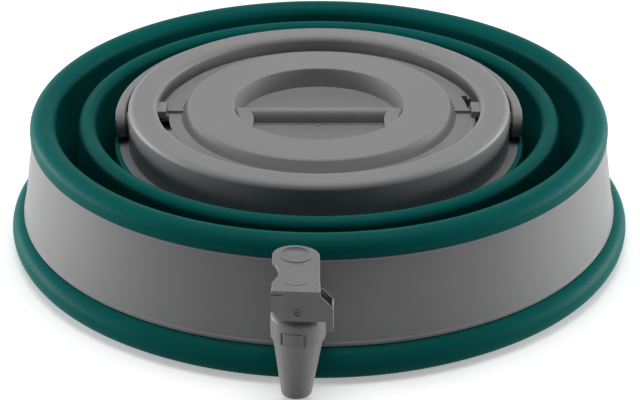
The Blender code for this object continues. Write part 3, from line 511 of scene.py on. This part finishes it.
# %% Outer crest, bonded on the band
outside = CREST_MID + CREST_WALL / 2
inside = CREST_MID - CREST_WALL / 2
crest_rows = bare(arc(CREST + STRIP, outside, 0, 90, 16) + [CREST + RISE * outside])
crest_rows += bare([CREST + RISE * inside] + arc(CREST + STRIP, inside, 90, 0, 10))
crest_rows += [
    (134.6, 55.6, 0.8),
    (132.9, 53.2, 0.5),
    (133.8, 48.0, 0.4),
    (135.4, 48.0, 0.4),
    (134.5, 55.35, 0.1),
    (138.2, 55.35, 0.3),
]
outer_crest = revolve(rounded(crest_rows), 256)
outer_crest = piece(outer_crest, "outer_crest_rubber", green_rubber, "base")
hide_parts("outer_fold")

# %% Outer wall, which rolls over between the band and the middle crest
outer_wall = revolve(ribbon(down_line(CREST, CREST_MID, VALLEY), CREST_WALL, WALL), 256)
outer_wall = piece(outer_wall, "outer_wall_rubber", green_rubber)
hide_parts("outer_fold_wall")
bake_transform(outer_wall)

# %% Middle ring: first valley, upright wall and inner crest
middle_ring = revolve(ribbon(up_line(VALLEY, INNER_CREST, INNER_MID), WALL, WALL), 256)
middle_ring = piece(middle_ring, "middle_ring_rubber", green_rubber, "middle")
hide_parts("middle_fold")

# %% Inner wall, which rolls over between the middle crest and the neck
inner_wall = revolve(ribbon(down_line(INNER_CREST, INNER_MID, NECK_VALLEY), WALL, WALL), 256)
inner_wall = piece(inner_wall, "inner_wall_rubber", green_rubber)
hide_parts("inner_fold_wall")
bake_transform(inner_wall)

# %% [markdown]
# The neck's wall ends in a cuff that is pulled over the foot of the collar. The wall and the
# cuff are joined, because the real ones are one moulding.

# %% Neck wall, up to the collar
NECK_TOP = Vector((97.3, 43.4))
neck_line = [NECK_VALLEY - RISE * VALLEY_MID] + arc(NECK_VALLEY - STRIP, VALLEY_MID, -90, -180, 6)
neck_line += straight(neck_line[-1], NECK_TOP) + [NECK_TOP]
neck_wall = revolve(ribbon(neck_line, WALL, WALL), 192)
cuff = [
    (96.5, 42.4, 0.2),
    (98.2, 42.4, 0.2),
    (98.2, 47.4, 0.5),
    (95.9, 47.4, 0.2),
    (95.9, 46.85, 0.1),
    (97.05, 46.85, 0.2),
    (97.05, 43.55, 0.2),
    (96.5, 43.55, 0.2),
]
neck_wall = combined(neck_wall, revolve(rounded(cuff), 192), "UNION")
neck_wall = piece(neck_wall, "neck_wall_rubber", green_rubber, "neck")
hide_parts("neck_fold")

# %% [markdown]
# ## The collar
#
# The collar is the grey ring round the mouth. Its top is flat between two generous roundings.
# Inside, a ledge lies all but level with the lid's flange, and below it is the pocket that the
# lid's lugs turn in. The section has all of that.

# %% Collar, as it is turned
collar_section = rounded(
    [
        (96.9, 43.7, 0.4),
        (96.9, 46.7, 0.8),
        (91.4, 46.7, 0.8),
        (91.4, 67.0, 3.0),
        (77.4, 67.0, 2.9),
        (77.4, 58.3, 0.2),
        (75.1, 58.3, 0.2),
        (75.1, 60.14, 0.2),
        (72.06, 60.14, 0.03),
        (72.06, 57.6, 0.3),
        (75.9, 57.6, 0.3),
        (75.9, 53.9, 0.4),
        (70.2, 53.9, 0.4),
        (70.2, 46.0, 0.4),
        (72.6, 46.0, 0.4),
        (72.6, 51.5, 0.4),
        (79.9, 51.5, 0.6),
        (79.9, 64.5, 0.8),
        (88.9, 64.5, 0.8),
        (88.9, 43.7, 0.4),
    ]
)
collar = revolve(collar_section, 240)

# %% [markdown]
# Booleans add what isn't round: the two slots in the ledge that the lugs drop through, the stops
# that end their turn, two tabs, and the studs for the handle. Each is there twice, half a turn
# apart.

# %% Slots, stops, tabs and studs
PIVOT_HEIGHT = 55.5
ACROSS = Matrix.Translation((0, 0, PIVOT_HEIGHT * MM)) @ Matrix.Rotation(QUARTER, 4, "Y")


def sector(inner, outer, low, high, start, length, steps=8):
    """A stretch of a flat ring, with its angles in degrees."""
    angles = [math.radians(start + length * i / steps) for i in range(steps + 1)]
    outline = [(outer * math.cos(a), outer * math.sin(a)) for a in angles]
    outline += [(inner * math.cos(a), inner * math.sin(a)) for a in reversed(angles)]
    return plate(outline, low, high)


def stud():
    """One of the handle's pivots, on the collar's right side."""
    foot = [(0, 90, 0), (5.0, 90, 0), (5.0, 92.5, 0.4)]
    peg = [(3.0, 92.5, 0.3), (3.0, 95.7, 0.5), (0, 95.7, 0)]
    return moved(revolve(rounded(foot + peg, closed=False), 40), ACROSS)


for turn in (UNTURNED, HALF_TURN):
    slot = sector(inner=71.0, outer=77.2, low=54.6, high=60.8, start=3.0, length=12.6)
    stop = sector(inner=70.6, outer=76.9, low=53.0, high=58.4, start=16.2, length=2.5)
    tab = box((73.0, -5.6, 59.9), (78.6, 5.6, 63.6), 0.45)
    collar = combined(collar, moved(slot, turn), "DIFFERENCE")
    for added in (stop, tab, stud()):
        collar = combined(collar, moved(added, turn), "UNION")
collar = piece(collar, "collar_moulding", grey_plastic, "neck")
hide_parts("neck_ring")

# %% [markdown]
# ## The lid
#
# The lid is a low disc with a slanted edge and a flat flange, and a round recess for the fingers.
# All of it is turned, down to the skirt that carries the seal.

# %% Lid disc with its recess and skirt
RECESS_FLOOR = 56.0
lid_section = rounded(
    [
        (0, RECESS_FLOOR, 0),
        (38.0, RECESS_FLOOR, 0.3),
        (38.6, 56.3, 0.2),
        (39.3, 56.3, 0.2),
        (41.0, 65.6, 0.6),
        (62.5, 65.6, 1.6),
        (65.9, 60.2, 0.5),
        (72.0, 60.2, 0.03),
        (72.0, 57.8, 0.3),
        (66.8, 57.8, 0.4),
        (66.8, 52.1, 0.3),
        (69.4, 52.1, 0.3),
        (69.4, 50.6, 0.2),
        (66.8, 50.6, 0.2),
        (66.8, 47.0, 0.2),
        (69.4, 47.0, 0.2),
        (69.4, 45.5, 0.3),
        (64.4, 45.5, 0.4),
        (64.4, 60.0, 1.0),
        (62.3, 63.1, 0.8),
        (43.3, 63.1, 0.8),
        (42.0, 54.3, 0.8),
        (0, 54.3, 0),
    ],
    closed=False,
)
lid = revolve(lid_section, 240)

# %% [markdown]
# An arched bar runs across the recess to turn the lid by. In front of its ends two raised gussets
# close the pocket. On each side a thin rib points at the collar's tab when the lid is shut, and a
# lug below the flange holds under the collar's ledge.

# %% Grip bar, gussets, lugs and ribs
GRIP_REACH = 39.0
GRIP_TOP = 62.5
GRIP_HALF = 3.4
GRIP_ROOT = RECESS_FLOOR - 0.4
BAR_SQUARE = 0.75
BAR_STEPS = 32


def grip_bar():
    """A bar with an arched section, a squarish half ellipse, laid along X across the recess."""
    arch = []
    for k in range(BAR_STEPS + 1):
        angle = math.pi * k / BAR_STEPS
        along, rise = math.cos(angle), math.sin(angle)
        wide = math.copysign(abs(along) ** BAR_SQUARE, along)
        arch.append((wide * GRIP_HALF, abs(rise) ** BAR_SQUARE))
    outline = [(y, RECESS_FLOOR + (GRIP_TOP - RECESS_FLOOR) * rise) for y, rise in arch]
    outline += [(-GRIP_HALF, GRIP_ROOT), (GRIP_HALF, GRIP_ROOT)]
    bar = plate(outline, -GRIP_REACH, GRIP_REACH)
    return moved(bar, ON_EDGE)


def gusset(side):
    """The raised end of the grip pocket, between the bar and the recess wall."""
    steep = math.radians(32)
    angles = [steep * i / 10 for i in range(11)]
    outline = [(GRIP_REACH * math.cos(a), -GRIP_REACH * math.sin(a)) for a in angles]
    outline += [(31.9, -18.6), (31.2, -14.0), (31.1, -10.0), (31.4, -6.5), (32.3, -3.2), (33.8, 0)]
    outline = [(side * x, y) for x, y in outline]
    return soften(plate(outline, GRIP_ROOT, GRIP_TOP - 0.4), 0.4)


lid = combined(lid, grip_bar(), "UNION")
for side, turn in ((1, UNTURNED), (-1, HALF_TURN)):
    lug = sector(inner=65.6, outer=74.5, low=54.3, high=57.3, start=-14.7, length=12.0)
    rib = box((64.9, -0.65, 60.17), (72.8, 0.65, 61.8), 0.2)
    for added in (gusset(side), moved(lug, turn), moved(rib, turn)):
        lid = combined(lid, added, "UNION")

# %% [markdown]
# A fine line runs along the foot of the bar, where two parts of the mould met, and the small mark
# of the gate stands at its middle. Both are thin, but they are what makes the lid look moulded.

# %% Mould line and gate mark
mould_line = box((-31.5, -4.45, 55.5), (31.5, -3.2, 56.35), 0.12)
lid = combined(lid, mould_line, "UNION")
gate_rows = [(0, 55.5, 0), (1.1, 55.5, 0), (0.9, 56.5, 0.2), (0, 56.5, 0)]
gate = revolve(rounded(gate_rows, closed=False), 32)
lid = combined(lid, moved(gate, Matrix.Translation((-0.8 * MM, -5.2 * MM, 0))), "UNION")
lid_moulding = piece(lid, "lid_moulding", grey_plastic, "lid")
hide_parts("lid")

# %% [markdown]
# A black rubber ring in the skirt's groove seals the lid against the collar's bore. Its outer
# side is a blunt lip, as on any such seal.

# %% Lid seal
seal_rows = [
    (67.1, 47.3, 0.4),
    (69.0, 47.3, 0.8),
    (69.95, 48.8, 0.8),
    (69.0, 50.3, 0.8),
    (67.1, 50.3, 0.4),
]
lid_seal = revolve(rounded(seal_rows), 192)
lid_seal = piece(lid_seal, "lid_seal_rubber", black_rubber, "lid")
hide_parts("lid_seal")

# %% [markdown]
# ## The handle
#
# The handle is a strap bent in a half ring, folded down behind the collar. It could be bent with
# a modifier, but it is short work to carry a rounded section round the arc with spin, and to
# close each end with a round disc. Booleans dislike edges that lie exactly on each other, so the
# disc is turned a little about its own axis first, and stands a hair proud of the strap.

# %% Handle
strap_rows = rounded([(92.8, 48.0, 1.1), (97.4, 48.0, 1.3), (97.4, 63.0, 1.3), (92.8, 63.0, 1.1)])
strap = bmesh.new()
strap_points = [strap.verts.new((r * MM, 0, z * MM)) for r, z in strap_rows]
strap_face = strap.faces.new(strap_points)
bmesh.ops.spin(
    strap, geom=[strap_face], cent=(0, 0, 0), axis=UP, angle=math.pi, steps=96, use_merge=False
)
bmesh.ops.remove_doubles(strap, verts=strap.verts, dist=1e-7)
bmesh.ops.recalc_face_normals(strap, faces=strap.faces)

# %% Ends of the handle
end_rows = [(0, 92.7, 0), (7.6, 92.7, 1.1), (7.6, 97.5, 1.3), (0, 97.5, 0)]
end_section = rounded(end_rows, closed=False)
NUDGED = Matrix.Rotation(math.radians(1.7), 4, "Z")
for turn in (UNTURNED, HALF_TURN):
    end = moved(revolve(end_section, 64), turn @ ACROSS @ NUDGED)
    strap = combined(strap, end, "UNION")
    stud_hole = rod(3.3, 91, 96.0)
    strap = combined(strap, moved(stud_hole, turn @ ACROSS), "DIFFERENCE")
handle = piece(strap, "handle_strap", grey_plastic, "handle")
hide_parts("handle")

# %% [markdown]
# ## The tap
#
# The tap is drawn as if it stood straight in front, and turned to its place at the end. Its body
# is a tapering spout on a shank that goes through the band. The bonnet is a cap that snaps over
# the top of the spout. Its skirt has a springy tongue between two short slots, a little to the
# left of the middle. Below its neck the spout leans a hair to the left, as the real one does.

# %% Tap body
SPOUT_OUT = 162.0
SPOUT_NECK = 31.5
SPOUT_LEAN = 0.03
AT_SPOUT = Matrix.Translation((0, -SPOUT_OUT * MM, 0))
spout_section = rounded(
    [
        (3.2, 24.4, 0.3),
        (3.2, 22.2, 0.3),
        (5.0, 22.2, 0.3),
        (5.0, 3.5, 0.4),
        (6.5, 3.5, 0.9),
        (10.75, SPOUT_NECK, 0.3),
        (10.3, 32.0, 0.2),
        (10.3, 39.9, 0.4),
        (7.5, 39.9, 0.3),
        (7.5, 24.4, 0.5),
    ]
)
spout = revolve(spout_section, 128)
for point in spout.verts:
    point.co.x -= SPOUT_LEAN * max(SPOUT_NECK * MM - point.co.z, 0)
spout = moved(spout, AT_SPOUT)
shank_section = rounded(
    [
        (4.6, 127.6, 0.3),
        (7.3, 127.6, 0.5),
        (7.3, 145.8, 0.2),
        (11.5, 145.8, 0.3),
        (11.5, 148.8, 0.5),
        (7.6, 148.8, 0.8),
        (7.6, 154.5, 0),
        (4.6, 154.5, 0),
    ]
)
spout = combined(spout, outwards(revolve(shank_section, 64)), "UNION")
spout = combined(spout, outwards(rod(4.6, 150, 158)), "DIFFERENCE")
tap_body = piece(moved(spout, TAP_TURN), "tap_body_moulding", tap_plastic, "base")
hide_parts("tap_body")

# %% Tap bonnet with its two ears
PIVOT_OUT = 169.5
PIVOT_Z = 54.0
PIN_BORE = 1.5
SKIRT_LOW = 32.0
bonnet_section = rounded(
    [
        (1.9, 44.4, 0.2),
        (1.9, 42.0, 0.2),
        (3.9, 42.0, 0.2),
        (3.9, 39.6, 0.2),
        (5.2, 39.6, 0.2),
        (5.2, 40.3, 0.2),
        (10.45, 40.3, 0.3),
        (10.45, SKIRT_LOW, 0.2),
        (11.7, SKIRT_LOW, 0.35),
        (11.7, 43.2, 2.0),
        (7.0, 43.2, 0.4),
        (7.0, 44.4, 0.5),
    ]
)
bonnet = revolve(bonnet_section, 128)
for start, length in ((-125.4, 6.6), (-77.4, 7.4)):
    slot = sector(inner=10.9, outer=12.5, low=SKIRT_LOW - 1, high=38.2, start=start, length=length)
    bonnet = combined(bonnet, slot, "DIFFERENCE")
tongue = sector(inner=11.0, outer=12.05, low=SKIRT_LOW, high=38.6, start=-118.4, length=40.6, steps=16)
bonnet = moved(combined(bonnet, soften(tongue, 0.3), "UNION"), AT_SPOUT)


def pin_bore(low, high):
    """A round cutter along X through the lever's pivot."""
    lay = Matrix.Translation((0, -PIVOT_OUT * MM, PIVOT_Z * MM)) @ Matrix.Rotation(QUARTER, 4, "Y")
    return moved(rod(PIN_BORE, low, high, 32), lay)


ear_outline = [(-168.6, 41.2), (-165.4, 41.2), (-167.0, 49.0), (-167.0, 56.5)]
ear_outline += [(-172.0, 56.5), (-172.0, 50.5)]
for low, high in ((-6.8, -4.6), (4.6, 6.8)):
    ear = plate(ear_outline, low, high)
    ear = moved(ear, ON_EDGE)
    bonnet = combined(bonnet, soften(ear, 0.4), "UNION")
bonnet = combined(bonnet, pin_bore(-9, 9), "DIFFERENCE")
tap_bonnet = piece(moved(bonnet, TAP_TURN), "tap_bonnet_moulding", tap_plastic, "base")
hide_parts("tap_bonnet")

# %% [markdown]
# ## The lever
#
# The lever is what the thumb sees: a plate that slopes up to the back, with a shallow dish near
# its round end and a notch in its left edge, over a hollow box with a wing on the right. The
# plate is drawn flat and then leaned back, and the dish is cut with a squashed sphere.

# %% Lever plate
LEVER_FRONT = 175.3
LEVER_TOP = 60.2
LEVER_LEAN = math.radians(12)
LEAN = Matrix.Translation((0, -LEVER_FRONT * MM, LEVER_TOP * MM)) @ Matrix.Rotation(LEVER_LEAN, 4, "X")
LEVER_LENGTH = 29.8
LEVER_HALF = 10.0
LEVER_END = 6.5
END_STEPS = 24
plate_rows = [(-LEVER_HALF, 0, 0), (LEVER_HALF, 0, 0)]
for k in range(END_STEPS + 1):
    angle = math.pi * k / END_STEPS
    along = LEVER_LENGTH - LEVER_END + LEVER_END * math.sin(angle)
    plate_rows.append((LEVER_HALF * math.cos(angle), along, 0))
plate_rows += [
    (-10.0, 18.8, 1.5),
    (-8.9, 17.9, 1.2),
    (-7.4, 13.6, 3.0),
    (-7.4, 10.0, 2.0),
    (-9.2, 7.0, 1.5),
    (-10.0, 5.6, 1.0),
]
lever = soften(plate(rounded(plate_rows), -2.1, 0), 0.3)
DISH = Vector((0, 24.1))
dish = bmesh.new()
bmesh.ops.create_uvsphere(dish, u_segments=64, v_segments=32, radius=1)
DISH_SIZE = Vector((6.6, 4.5, 1.8))
hollow = Matrix.Translation((*DISH * MM, 0.3 * MM)) @ Matrix.Diagonal((*DISH_SIZE * MM, 1))
lever = combined(lever, moved(dish, hollow), "DIFFERENCE")

# %% [markdown]
# Plain marks stay on the plate: the raised lip of the dish, a curved ridge for the thumb and a
# short groove. Each is a thin crescent between two arcs. Any lettering is left off. The plate
# stands slightly askew on its box, as the photograph shows, so it is sheared before it is leaned.

# %% Lip, ridge and groove
CRESCENT_STEPS = 16
END_SHARE = 0.3


def crescent(centre, outer, inner, start, stop, low, high):
    """A flat crescent between two elliptic arcs that draw together at their ends."""
    rows = []
    for k in range(CRESCENT_STEPS + 1):
        share = k / CRESCENT_STEPS
        angle = math.radians(start + (stop - start) * share)
        wide = END_SHARE + (1 - END_SHARE) * math.sin(math.pi * share)
        out = Vector((outer[0] * math.cos(angle), outer[1] * math.sin(angle)))
        back = Vector((inner[0] * math.cos(angle), inner[1] * math.sin(angle)))
        rows.append((Vector(centre) + out, Vector(centre) + out.lerp(back, wide)))
    outline = [out for out, back in rows] + [back for out, back in reversed(rows)]
    return plate(outline, low, high)


lip = crescent(DISH, (7.5, 5.7), (6.8, 4.7), -158, -22, -0.4, 0.4)
lever = combined(lever, soften(lip, 0.09, segments=2), "UNION")
ridge = crescent((-0.1, 11.6), (7.6, 7.6), (7.1, 7.1), -126, -54, -0.4, 0.2)
lever = combined(lever, soften(ridge, 0.05, segments=2), "UNION")
groove = crescent(DISH, (7.0, 6.75), (6.8, 6.5), -122, -58, -0.2, 0.4)
lever = combined(lever, groove, "DIFFERENCE")
SKEW = Matrix(((1, -0.059, 0, 0), (0, 1, 0, 0), (0, 0, 1, 0), (0, 0, 0, 1)))
lever = moved(lever, LEAN @ SKEW)

# %% [markdown]
# The box and its wing are drawn as they are seen from the front, and given a depth. The wing is
# hollow, so that a thin bright rim shows round a dark pocket.


# %% Front box
def upright(outline, front, back, edge=0.0):
    """A plate with an (x, z) outline seen from the front, between two distances out."""
    bm = plate(outline, back, front)
    moved(bm, Matrix.Rotation(QUARTER, 4, "X"))
    bmesh.ops.recalc_face_normals(bm, faces=bm.faces)
    return soften(bm, edge) if edge else bm


face_rows = rounded(
    [
        (-10.4, 59.9, 0.5),
        (-10.4, 50.5, 0.8),
        (-6.6, 45.9, 1.2),
        (12.3, 45.9, 0.3),
        (12.3, 41.3, 0.5),
        (15.4, 41.3, 0.5),
        (15.4, 52.5, 0.9),
        (10.2, 58.1, 0.5),
        (10.2, 59.9, 0.5),
    ]
)
lever = combined(lever, upright(face_rows, 175.0, 173.5, 0.18), "UNION")

# %% Hollow wing
wing_rows = rounded(
    [
        (8.7, 45.95, 0.4),
        (12.35, 45.95, 0.3),
        (12.35, 41.35, 0.5),
        (15.35, 41.35, 0.5),
        (15.35, 53.6, 0.9),
        (10.9, 58.6, 0.5),
        (8.7, 58.6, 0.5),
    ]
)
lever = combined(lever, upright(wing_rows, 174.3, 168.7, 0.18), "UNION")
pocket_rows = [(9.9, 48.5), (14.85, 48.5), (14.85, 60.5), (9.9, 60.5)]
lever = combined(lever, upright(pocket_rows, 174.5, 169.25), "DIFFERENCE")

# %% Slanted left side, cheeks and slit
panel = plate([(-5.7, -175.05), (-11.0, -174.3), (-11.0, -176.0), (-5.7, -176.0)], 44.0, 58.0)
lever = combined(lever, panel, "DIFFERENCE")
for low, high in ((-10.3, -8.6), (8.2, 9.7)):
    cheek = box((low, -174.1, 50.6), (high, -166.8, 60.0), 0.25)
    lever = combined(lever, cheek, "UNION")
slit = box((-10.8, -176.0, 58.0), (-5.6, -174.3, 58.5), 0.1)
lever = combined(lever, slit, "DIFFERENCE")

# %% [markdown]
# A plain ring with a dot stands in the middle of the front, and the bore for the lever's pin goes
# through everything last.

# %% Ring, dot and bore
MARK_X, MARK_Z = 0.4, 49.9
pin_ring = rounded([(1.25, 174.4, 0.1), (1.8, 174.4, 0.1), (1.8, 175.5, 0.2), (1.25, 175.5, 0.2)])
pin_dot = rounded([(0, 174.4, 0), (0.6, 174.4, 0.1), (0.6, 175.5, 0.2), (0, 175.5, 0)], closed=False)
for section in (pin_ring, pin_dot):
    mark = outwards(revolve(section, 40), MARK_Z)
    mark = moved(mark, Matrix.Translation((MARK_X * MM, 0, 0)))
    lever = combined(lever, mark, "UNION")
lever = combined(lever, pin_bore(-16.5, 10.1), "DIFFERENCE")
tap_lever = piece(moved(lever, TAP_TURN), "tap_lever_moulding", tap_plastic, "tap_lever")
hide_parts("tap_lever")

# %% [markdown]
# ## The spring
#
# The spring round the stem lifts the lever again. A spin that also climbs draws a coil from one
# small circle of wire. Its foot stands on the bonnet and its top reaches up to the stem; it
# rides on no body.

# %% Spring
TURNS = 5
SPRING_LOW, SPRING_HIGH = 45.1, 56.0
COIL_RADIUS, WIRE_RADIUS = 2.7, 0.4
STEPS_PER_TURN = 24
coil = bmesh.new()
wire_place = Matrix.Translation((COIL_RADIUS * MM, 0, SPRING_LOW * MM))
wire_place = wire_place @ Matrix.Rotation(QUARTER, 4, "X")
bmesh.ops.create_circle(
    coil, cap_ends=True, radius=WIRE_RADIUS * MM, segments=10, matrix=wire_place
)
climb = (SPRING_HIGH - SPRING_LOW) * MM / (TURNS * STEPS_PER_TURN)
bmesh.ops.spin(
    coil,
    geom=list(coil.faces),
    cent=(0, 0, 0),
    axis=UP,
    dvec=(0, 0, climb),
    angle=TURNS * FULL_TURN,
    steps=TURNS * STEPS_PER_TURN,
    use_merge=False,
)
bmesh.ops.recalc_face_normals(coil, faces=coil.faces)
coil = moved(coil, TAP_TURN @ AT_SPOUT)
spring = piece(coil, "tap_spring_wire", spring_steel)
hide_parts("tap_spring")
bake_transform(spring)

# %% [markdown]
# ## The pieces inside the tap
#
# The pin, nut, stem and rubber rings are hardly seen. Their CAD solids have the right shape, so
# they stay, and only take one of the finishes.

# %% Finishes for the CAD solids that stay
STAYING = {
    "tap_lever_pin": tap_plastic,
    "tap_nut": grey_plastic,
    "tap_stem": tap_plastic,
    "tap_valve_seal": black_rubber,
    "tap_stem_ring": black_rubber,
    "tap_outer_gasket": black_rubber,
    "tap_inner_gasket": black_rubber,
}
for name, finish in STAYING.items():
    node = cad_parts[name]
    node.data.materials.clear()
    node.data.materials.append(finish)
print("kept from the CAD model:", len(STAYING))

# %% [markdown]
# ## Floor and light
#
# The carrier stands on a plain pale floor. The background is white because the floor and the
# world are white where the camera looks at them. Near the carrier the floor keeps its soft
# shadow, and farther off it glows fully white. Two low soft lamps stand left and right, and one
# hangs overhead, so that the tops and the sides are bright and the front of the band is the
# darkest part, as in the photograph.

# %% Finish of the floor
def seen_directly(tree):
    """1 where the camera, a mirror or clear glass looks straight at the surface, else 0."""
    path = tree.nodes.new("ShaderNodeLightPath")
    total = path.outputs["Is Camera Ray"]
    for name in ("Is Glossy Ray", "Is Transmission Ray"):
        step = tree.nodes.new("ShaderNodeMath")
        step.operation = "MAXIMUM"
        tree.links.new(total, step.inputs[0])
        tree.links.new(path.outputs[name], step.inputs[1])
        total = step.outputs["Value"]
    return total


floor_finish, floor_tree, floor_shader = new_finish("floor_white", 0.9, specular=0.0)
floor_seen = seen_directly(floor_tree)
floor_colour = blended(floor_tree, floor_seen, (0.75, 0.75, 0.75), (0.95, 0.95, 0.95))
floor_tree.links.new(floor_colour, floor_shader.inputs["Base Color"])
floor_shader.inputs["Emission Color"].default_value = (1, 1, 1, 1)
floor_place = floor_tree.nodes.new("ShaderNodeTexCoord")
from_centre = floor_tree.nodes.new("ShaderNodeVectorMath")
from_centre.operation = "LENGTH"
floor_tree.links.new(floor_place.outputs["Object"], from_centre.inputs[0])
NEAR, FAR = 0.6, 0.95
far_glow = between(floor_tree, from_centre.outputs["Value"], NEAR, FAR, 0.35, 1.0)
floor_glow = floor_tree.nodes.new("ShaderNodeMath")
floor_glow.operation = "MULTIPLY"
floor_tree.links.new(far_glow, floor_glow.inputs[0])
floor_tree.links.new(floor_seen, floor_glow.inputs[1])
floor_tree.links.new(floor_glow.outputs["Value"], floor_shader.inputs["Emission Strength"])

# %% [markdown]
# The floor is one square, a tenth of a millimetre below the foot ring, so that no two faces lie
# in the same plane.

# %% Floor
floor_bm = bmesh.new()
just_below = Matrix.Translation((0, 0, -0.1 * MM))
bmesh.ops.create_grid(floor_bm, x_segments=1, y_segments=1, size=6, matrix=just_below)
floor = bpy.data.objects.new("floor", as_mesh(floor_bm, "floor"))
floor.data.materials.append(floor_finish)
bpy.context.scene.collection.objects.link(floor)
print("floor:", len(floor.data.polygons), "face")

# %% World
world = bpy.data.worlds.new("studio")
bpy.context.scene.world = world
world.use_nodes = True
world_tree = world.node_tree
background = world_tree.nodes["Background"]
sky_level = between(world_tree, seen_directly(world_tree), 0.0, 1.0, 0.04, 1.0)
world_tree.links.new(sky_level, background.inputs["Strength"])
background.inputs["Color"].default_value = (1, 1, 1, 1)
print("world:", world.name)

# %% Lamps
def soft_lamp(name, place, aim, size, power):
    """A rectangular lamp that looks at a point."""
    light = bpy.data.lights.new(name, "AREA")
    light.shape = "RECTANGLE"
    light.size, light.size_y = size
    light.energy = power
    lamp = bpy.data.objects.new(name, light)
    lamp.location = place
    lamp.rotation_euler = (Vector(aim) - Vector(place)).to_track_quat("-Z", "Y").to_euler()
    bpy.context.scene.collection.objects.link(lamp)
    print(f"{name}: {power} W")


CARRIER_MIDDLE = (0, 0, 0.03)
SIDE_SIZE, SIDE_POWER = (0.9, 0.26), 10.5
soft_lamp("lamp_left", (-1.0, 0.25, 0.14), CARRIER_MIDDLE, SIDE_SIZE, SIDE_POWER)
soft_lamp("lamp_right", (1.0, 0.25, 0.14), CARRIER_MIDDLE, SIDE_SIZE, SIDE_POWER)
soft_lamp("lamp_above", (0, 0.1, 1.4), CARRIER_MIDDLE, (1.1, 0.8), 13)

# %% [markdown]
# ## Camera
#
# The camera stands 1.1 m off and looks down at 27.7 degrees, which was solved from the ellipses
# of the rims in the photograph. A small shift puts the carrier where it is in the frame.

# %% Camera
DISTANCE = 1.1
ELEVATION = math.radians(27.7)
lens = bpy.data.cameras.new("camera")
lens.lens = 125.35
lens.sensor_width = 36
PHOTO_WIDTH = 640
lens.shift_x = 1.1 / PHOTO_WIDTH
lens.shift_y = 23.7 / PHOTO_WIDTH
camera = bpy.data.objects.new("camera", lens)
camera.location = (0, -DISTANCE * math.cos(ELEVATION), DISTANCE * math.sin(ELEVATION))
camera.rotation_euler = (math.pi / 2 - ELEVATION, 0, 0)
bpy.context.scene.collection.objects.link(camera)
bpy.context.scene.camera = camera
bpy.context.scene.view_settings.view_transform = "Standard"
print(f"camera: {lens.lens} mm lens, {DISTANCE} m off")
